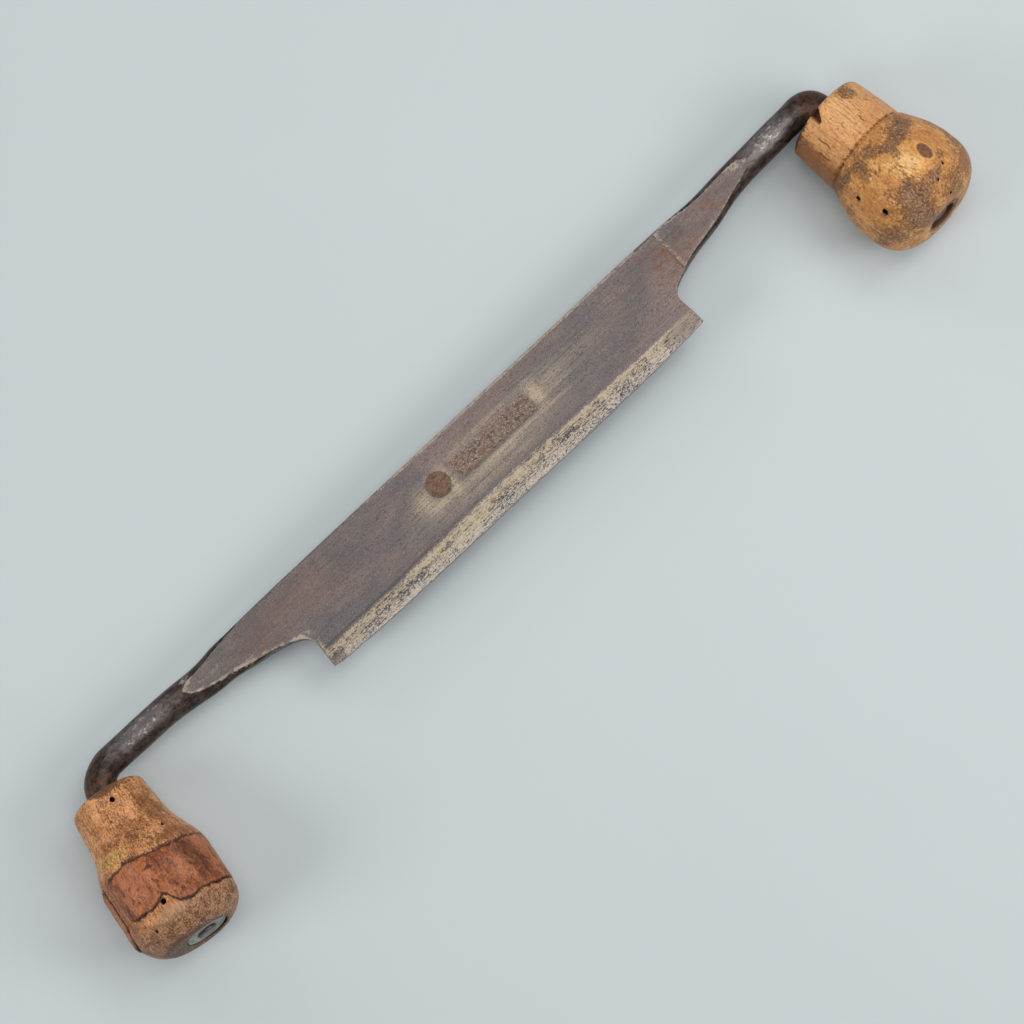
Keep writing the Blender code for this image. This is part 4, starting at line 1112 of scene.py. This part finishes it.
def makeBulb():
    points, r, angle, s, inside = turnedPoints(rightKnob, bulbSide)
    outside = inside < 0.5
    # painted shade: darker and browner towards the end and round the sides
    sideShade = 0.16 * ease((s - 45.0) / 7.0)  # browner towards the end and round the sides
    sideShade = sideShade + 0.24 * ease((np.abs(turnGap(angle, 8)) - 54) / 26) * ease((s - 20.0) / 4.0)
    chip = np.clip(chipDepth(s, angle) / 2.5, 0, 1)
    knotS, knotWay, knotWide, knotLong = bulbSet["knot"]
    sideways = np.radians(turnGap(angle, knotWay)) * 21.6
    away = np.hypot((s - knotS + 0.5 * sideways) / knotLong, (sideways - 0.3 * (s - knotS)) / knotWide)
    # darker at the neck's rim, at the end and round the recess; at the rim this is partly painted shade,
    # strongest on the shaded side
    rimDark = ease((3.0 - s) / 3.0) * (0.45 + 0.55 * ease((angle - 10) / 40)) + ease((s - 51.5) / 2.0) * 0.4
    rimDark = rimDark + 0.95 * ease((8.2 - r) / 2.6) * (s > 50)
    masks = {
        # dark patches, partly painted shade along the sides and the end
        "dark": (patches(s, angle, bulbSet["dark"]) + np.minimum(sideShade, 0.32)) * outside,
        # crease, inside, hole and crack mark hollows that are darkened as painted shade
        "crease": bell(s, bulbSet["crease"][0], 0.8) * outside, "inside": np.clip(inside + chip, 0, 1),
        "hole": np.clip(pitDepth(rightKnob, s, angle, bulbSet["holes"]) / 0.7, 0, 1),
        # painted highlight patches
        "light": patches(s, angle, bulbSet["light"]),
        "crack": np.clip(crackDepth(s, angle) / 0.25, 0, 1) * outside,
        "knot": ease((1.05 - away) / 0.25) * outside, "knotRing": bell(away, 1.12, 0.1) * outside,
        "rimDark": np.clip(rimDark, 0, 1), "collar": ease((19.0 - s) / 1.5),
        # painted shade on one side of the collar
        "paintedShade": ease((angle - 28) / 40) * ease((26.0 - s) / 6),
    }
    return ringPiece("bulbKnob", points, masks, 60)


bulbWoodSet = {
    # bright and glint are partly the wood's own tone and partly painted highlights
    "collar": (0.84, 0.435, 0.205), "base": (0.59, 0.252, 0.072), "bright": (0.9, 0.465, 0.145),
    "glint": (0.97, 0.62, 0.27), "amber": (0.53, 0.195, 0.045), "brown": (0.27, 0.122, 0.048),
    "dark": (0.078, 0.037, 0.021), "grey": (0.43, 0.29, 0.19), "line": (0.15, 0.06, 0.022),
    # rim and hole are the dark colours of painted shade in the hollows and at the neck's rim
    "rim": (0.07, 0.031, 0.017), "hole": (0.012, 0.007, 0.005), "knot": (0.15, 0.064, 0.034),
    # the last colour here is the painted shade multiplied over one side of the collar
    "knotPale": (0.23, 0.11, 0.06), "ring": (0.8, 0.46, 0.17), "paintedShade": (0.4, 0.3, 0.235),
}


def makeBulbWood():
    finish = newFinish("bulbWood")
    coords = knobCoords(rightKnob)
    cloud = grain(coords, (100, 100, 75), 4.0, 0.6, 0.4)
    fibre = grain(coords, (1700, 1700, 50), 4.0, 0.68, 0.2)
    fine = grain(coords, (3000, 3000, 1100), 3.0, 0.7)
    blotch = grain(coords, (240, 240, 200), 6.0, 0.74, 0.7)
    speck = grain(coords, (1300, 1300, 900), 4.0, 0.72, 0.4)
    ring = grain(coords, (420, 420, 60), 4.0, 0.65, 0.8)
    collar = painted("collar")
    # painted highlight: the light patches raise the bright and glint colours
    lightWay = plus(cloud, times(painted("light"), 0.22))
    fibreShare = times(between(fibre, 0.51, 0.63), between(collar, 0.0, 1.0, 0.26, 0.42))
    colour = layers(
        bulbWoodSet["base"], bulbWoodSet, ("bright", lightWay, 0.4, 0.66),
        ("amber", ring, 0.52, 0.62, 0.55), ("glint", lightWay, 0.6, 0.82, 0.8),
        ("collar", times(collar, 0.55)), ("glint", speck, 0.45, 0.38, 0.45), ("line", fibreShare),
        ("amber", fine, 0.5, 0.6, 0.48), ("brown", speck, 0.55, 0.64, 0.65))
    # painted shade, darkening one side of the collar
    shadeWay = edged("paintedShade", blended((blotch, 0.4), (ring, 0.3), (speck, 0.3)), 2.6)
    colour = mixColour(between(shadeWay, 0.1, 0.95, 0.0, 0.95), colour, bulbWoodSet["paintedShade"], "MULTIPLY")

    # brown patches, partly painted shade at the sides; the knot; and painted shade in the crease, the
    # cracks, the holes, the chip and inside the recess and bore
    patch = plus(edged("dark", blotch, 3.4), times(sums("SUBTRACT", speck, 0.5), 3.2))
    patch = sums("SUBTRACT", patch, times(collar, 0.5))
    deepWay = blended((fine, 0.5), (blotch, 0.5))
    deep = layers(bulbWoodSet["dark"], bulbWoodSet, ("brown", deepWay, 0.46, 0.54),
                  ("grey", speck, 0.5, 0.42, 0.85))
    knot = layers(bulbWoodSet["knotPale"], bulbWoodSet, ("knot", speck, 0.46, 0.56))
    inner = layers(bulbWoodSet["rim"], bulbWoodSet, ("knot", speck, 0.44, 0.56))
    colour = layers(
        colour, bulbWoodSet, ("amber", blotch, 0.53, 0.66, 0.55), ("brown", patch, 0.2, 0.75, 0.66),
        (deep, patch, 0.6, 1.15, 0.9),
        # painted shade in the crease
        ("rim", edged("crease", blended((blotch, 0.6), (speck, 0.4)), 5.0), 0.6, 1.3, 0.8),
        ("rim", edged("rimDark", blended((blotch, 0.5), (speck, 0.5)), 3.6), 0.4, 0.85, 0.9),
        (knot, edged("knot", speck, 1.6), 0.35, 0.7, 0.92),
        # painted shade in the cracks, after the knot's ring
        ("ring", edged("knotRing", speck, 2.4), 0.35, 0.95, 0.85), ("rim", painted("crack"), 0.2, 0.8, 0.9),
        # painted shade inside the recess, bore and chip, and in the holes
        (inner, times(painted("inside"), 0.95)), ("hole", painted("hole"), 0.15, 0.55))
    dress(colour, plus(times(blotch, 0.4), 0.22), 0.28,
          ((patch, -0.00014), (fibre, -0.0001), (speck, 0.00013)))
    return finish


handIn(makeBulb(), "right_handle", makeBulbWood())


# roves under the riveted ends

roveSet = {
    "thick": 1.0, "steps": 120, "play": 0.05, "rim": ((0.22, 0.03), (0.06, 0.14), (0.0, 0.32)),
    "grey": ((0.26, 0.26, 0.215), (0.42, 0.42, 0.36), (0.07, 0.055, 0.04)),
    "rusty": ((0.075, 0.04, 0.026), (0.15, 0.07, 0.04), (0.02, 0.012, 0.009)),
}


def makeRove(name, knob, seed):
    low = knob["length"] - knob["recess"] + fitGap
    high = low + roveSet["thick"]
    hole, outer = boreEnd + roveSet["play"], knob["rove"]
    line = [(hole, high - 0.1), (hole + 0.15, high)]
    line += [(r, high) for r in np.linspace(hole + 0.6, outer - 0.5, 12)]
    line += [(outer - inward, high - down) for inward, down in roveSet["rim"]] + [(outer, low), (hole, low)]
    r, s = np.array(line).T
    turn = np.radians(np.linspace(0, 360, roveSet["steps"], endpoint=False))[:, None]
    points = roundOf(r, turn, s)
    points[..., 2] += np.minimum(0.0, 0.12 * wobble(points, 0.45, seed) - 0.02) * (s > low + 0.3)
    out = (r - hole) / (outer - hole) + 0 * turn
    return ringPiece(name, placed(points, knobPlace(knob, True)) * mm, {"out": out}, 40)


def makeRoveFinish(name, colours, metal):
    base, pale, dark = colours
    finish = newFinish(name)
    coords = placeCoords()
    blotch = grain(coords, (420, 420, 420), 4.0, 0.65, 0.5)
    speck = grain(coords, (1500, 1500, 1500), 3.0, 0.6)
    colour = layers(base, {}, (pale, blotch, 0.4, 0.62), (dark, speck, 0.52, 0.66, 0.7),
                    (dark, painted("out"), 0.3, 0.02, 0.8))
    dress(colour, plus(times(speck, 0.4), 0.28), 0.5, ((blotch, 0.0001),), metal)
    return finish


greyMetal = makeRoveFinish("greyMetal", roveSet["grey"], 0.6)
rustyMetal = makeRoveFinish("rustyMetal", roveSet["rusty"], 0.4)
handIn(makeRove("greyRove", leftKnob, 41), "left_rove", greyMetal)
handIn(makeRove("rustyRove", rightKnob, 43), "right_rove", rustyMetal)

clearSelection()
print("all pieces in place")
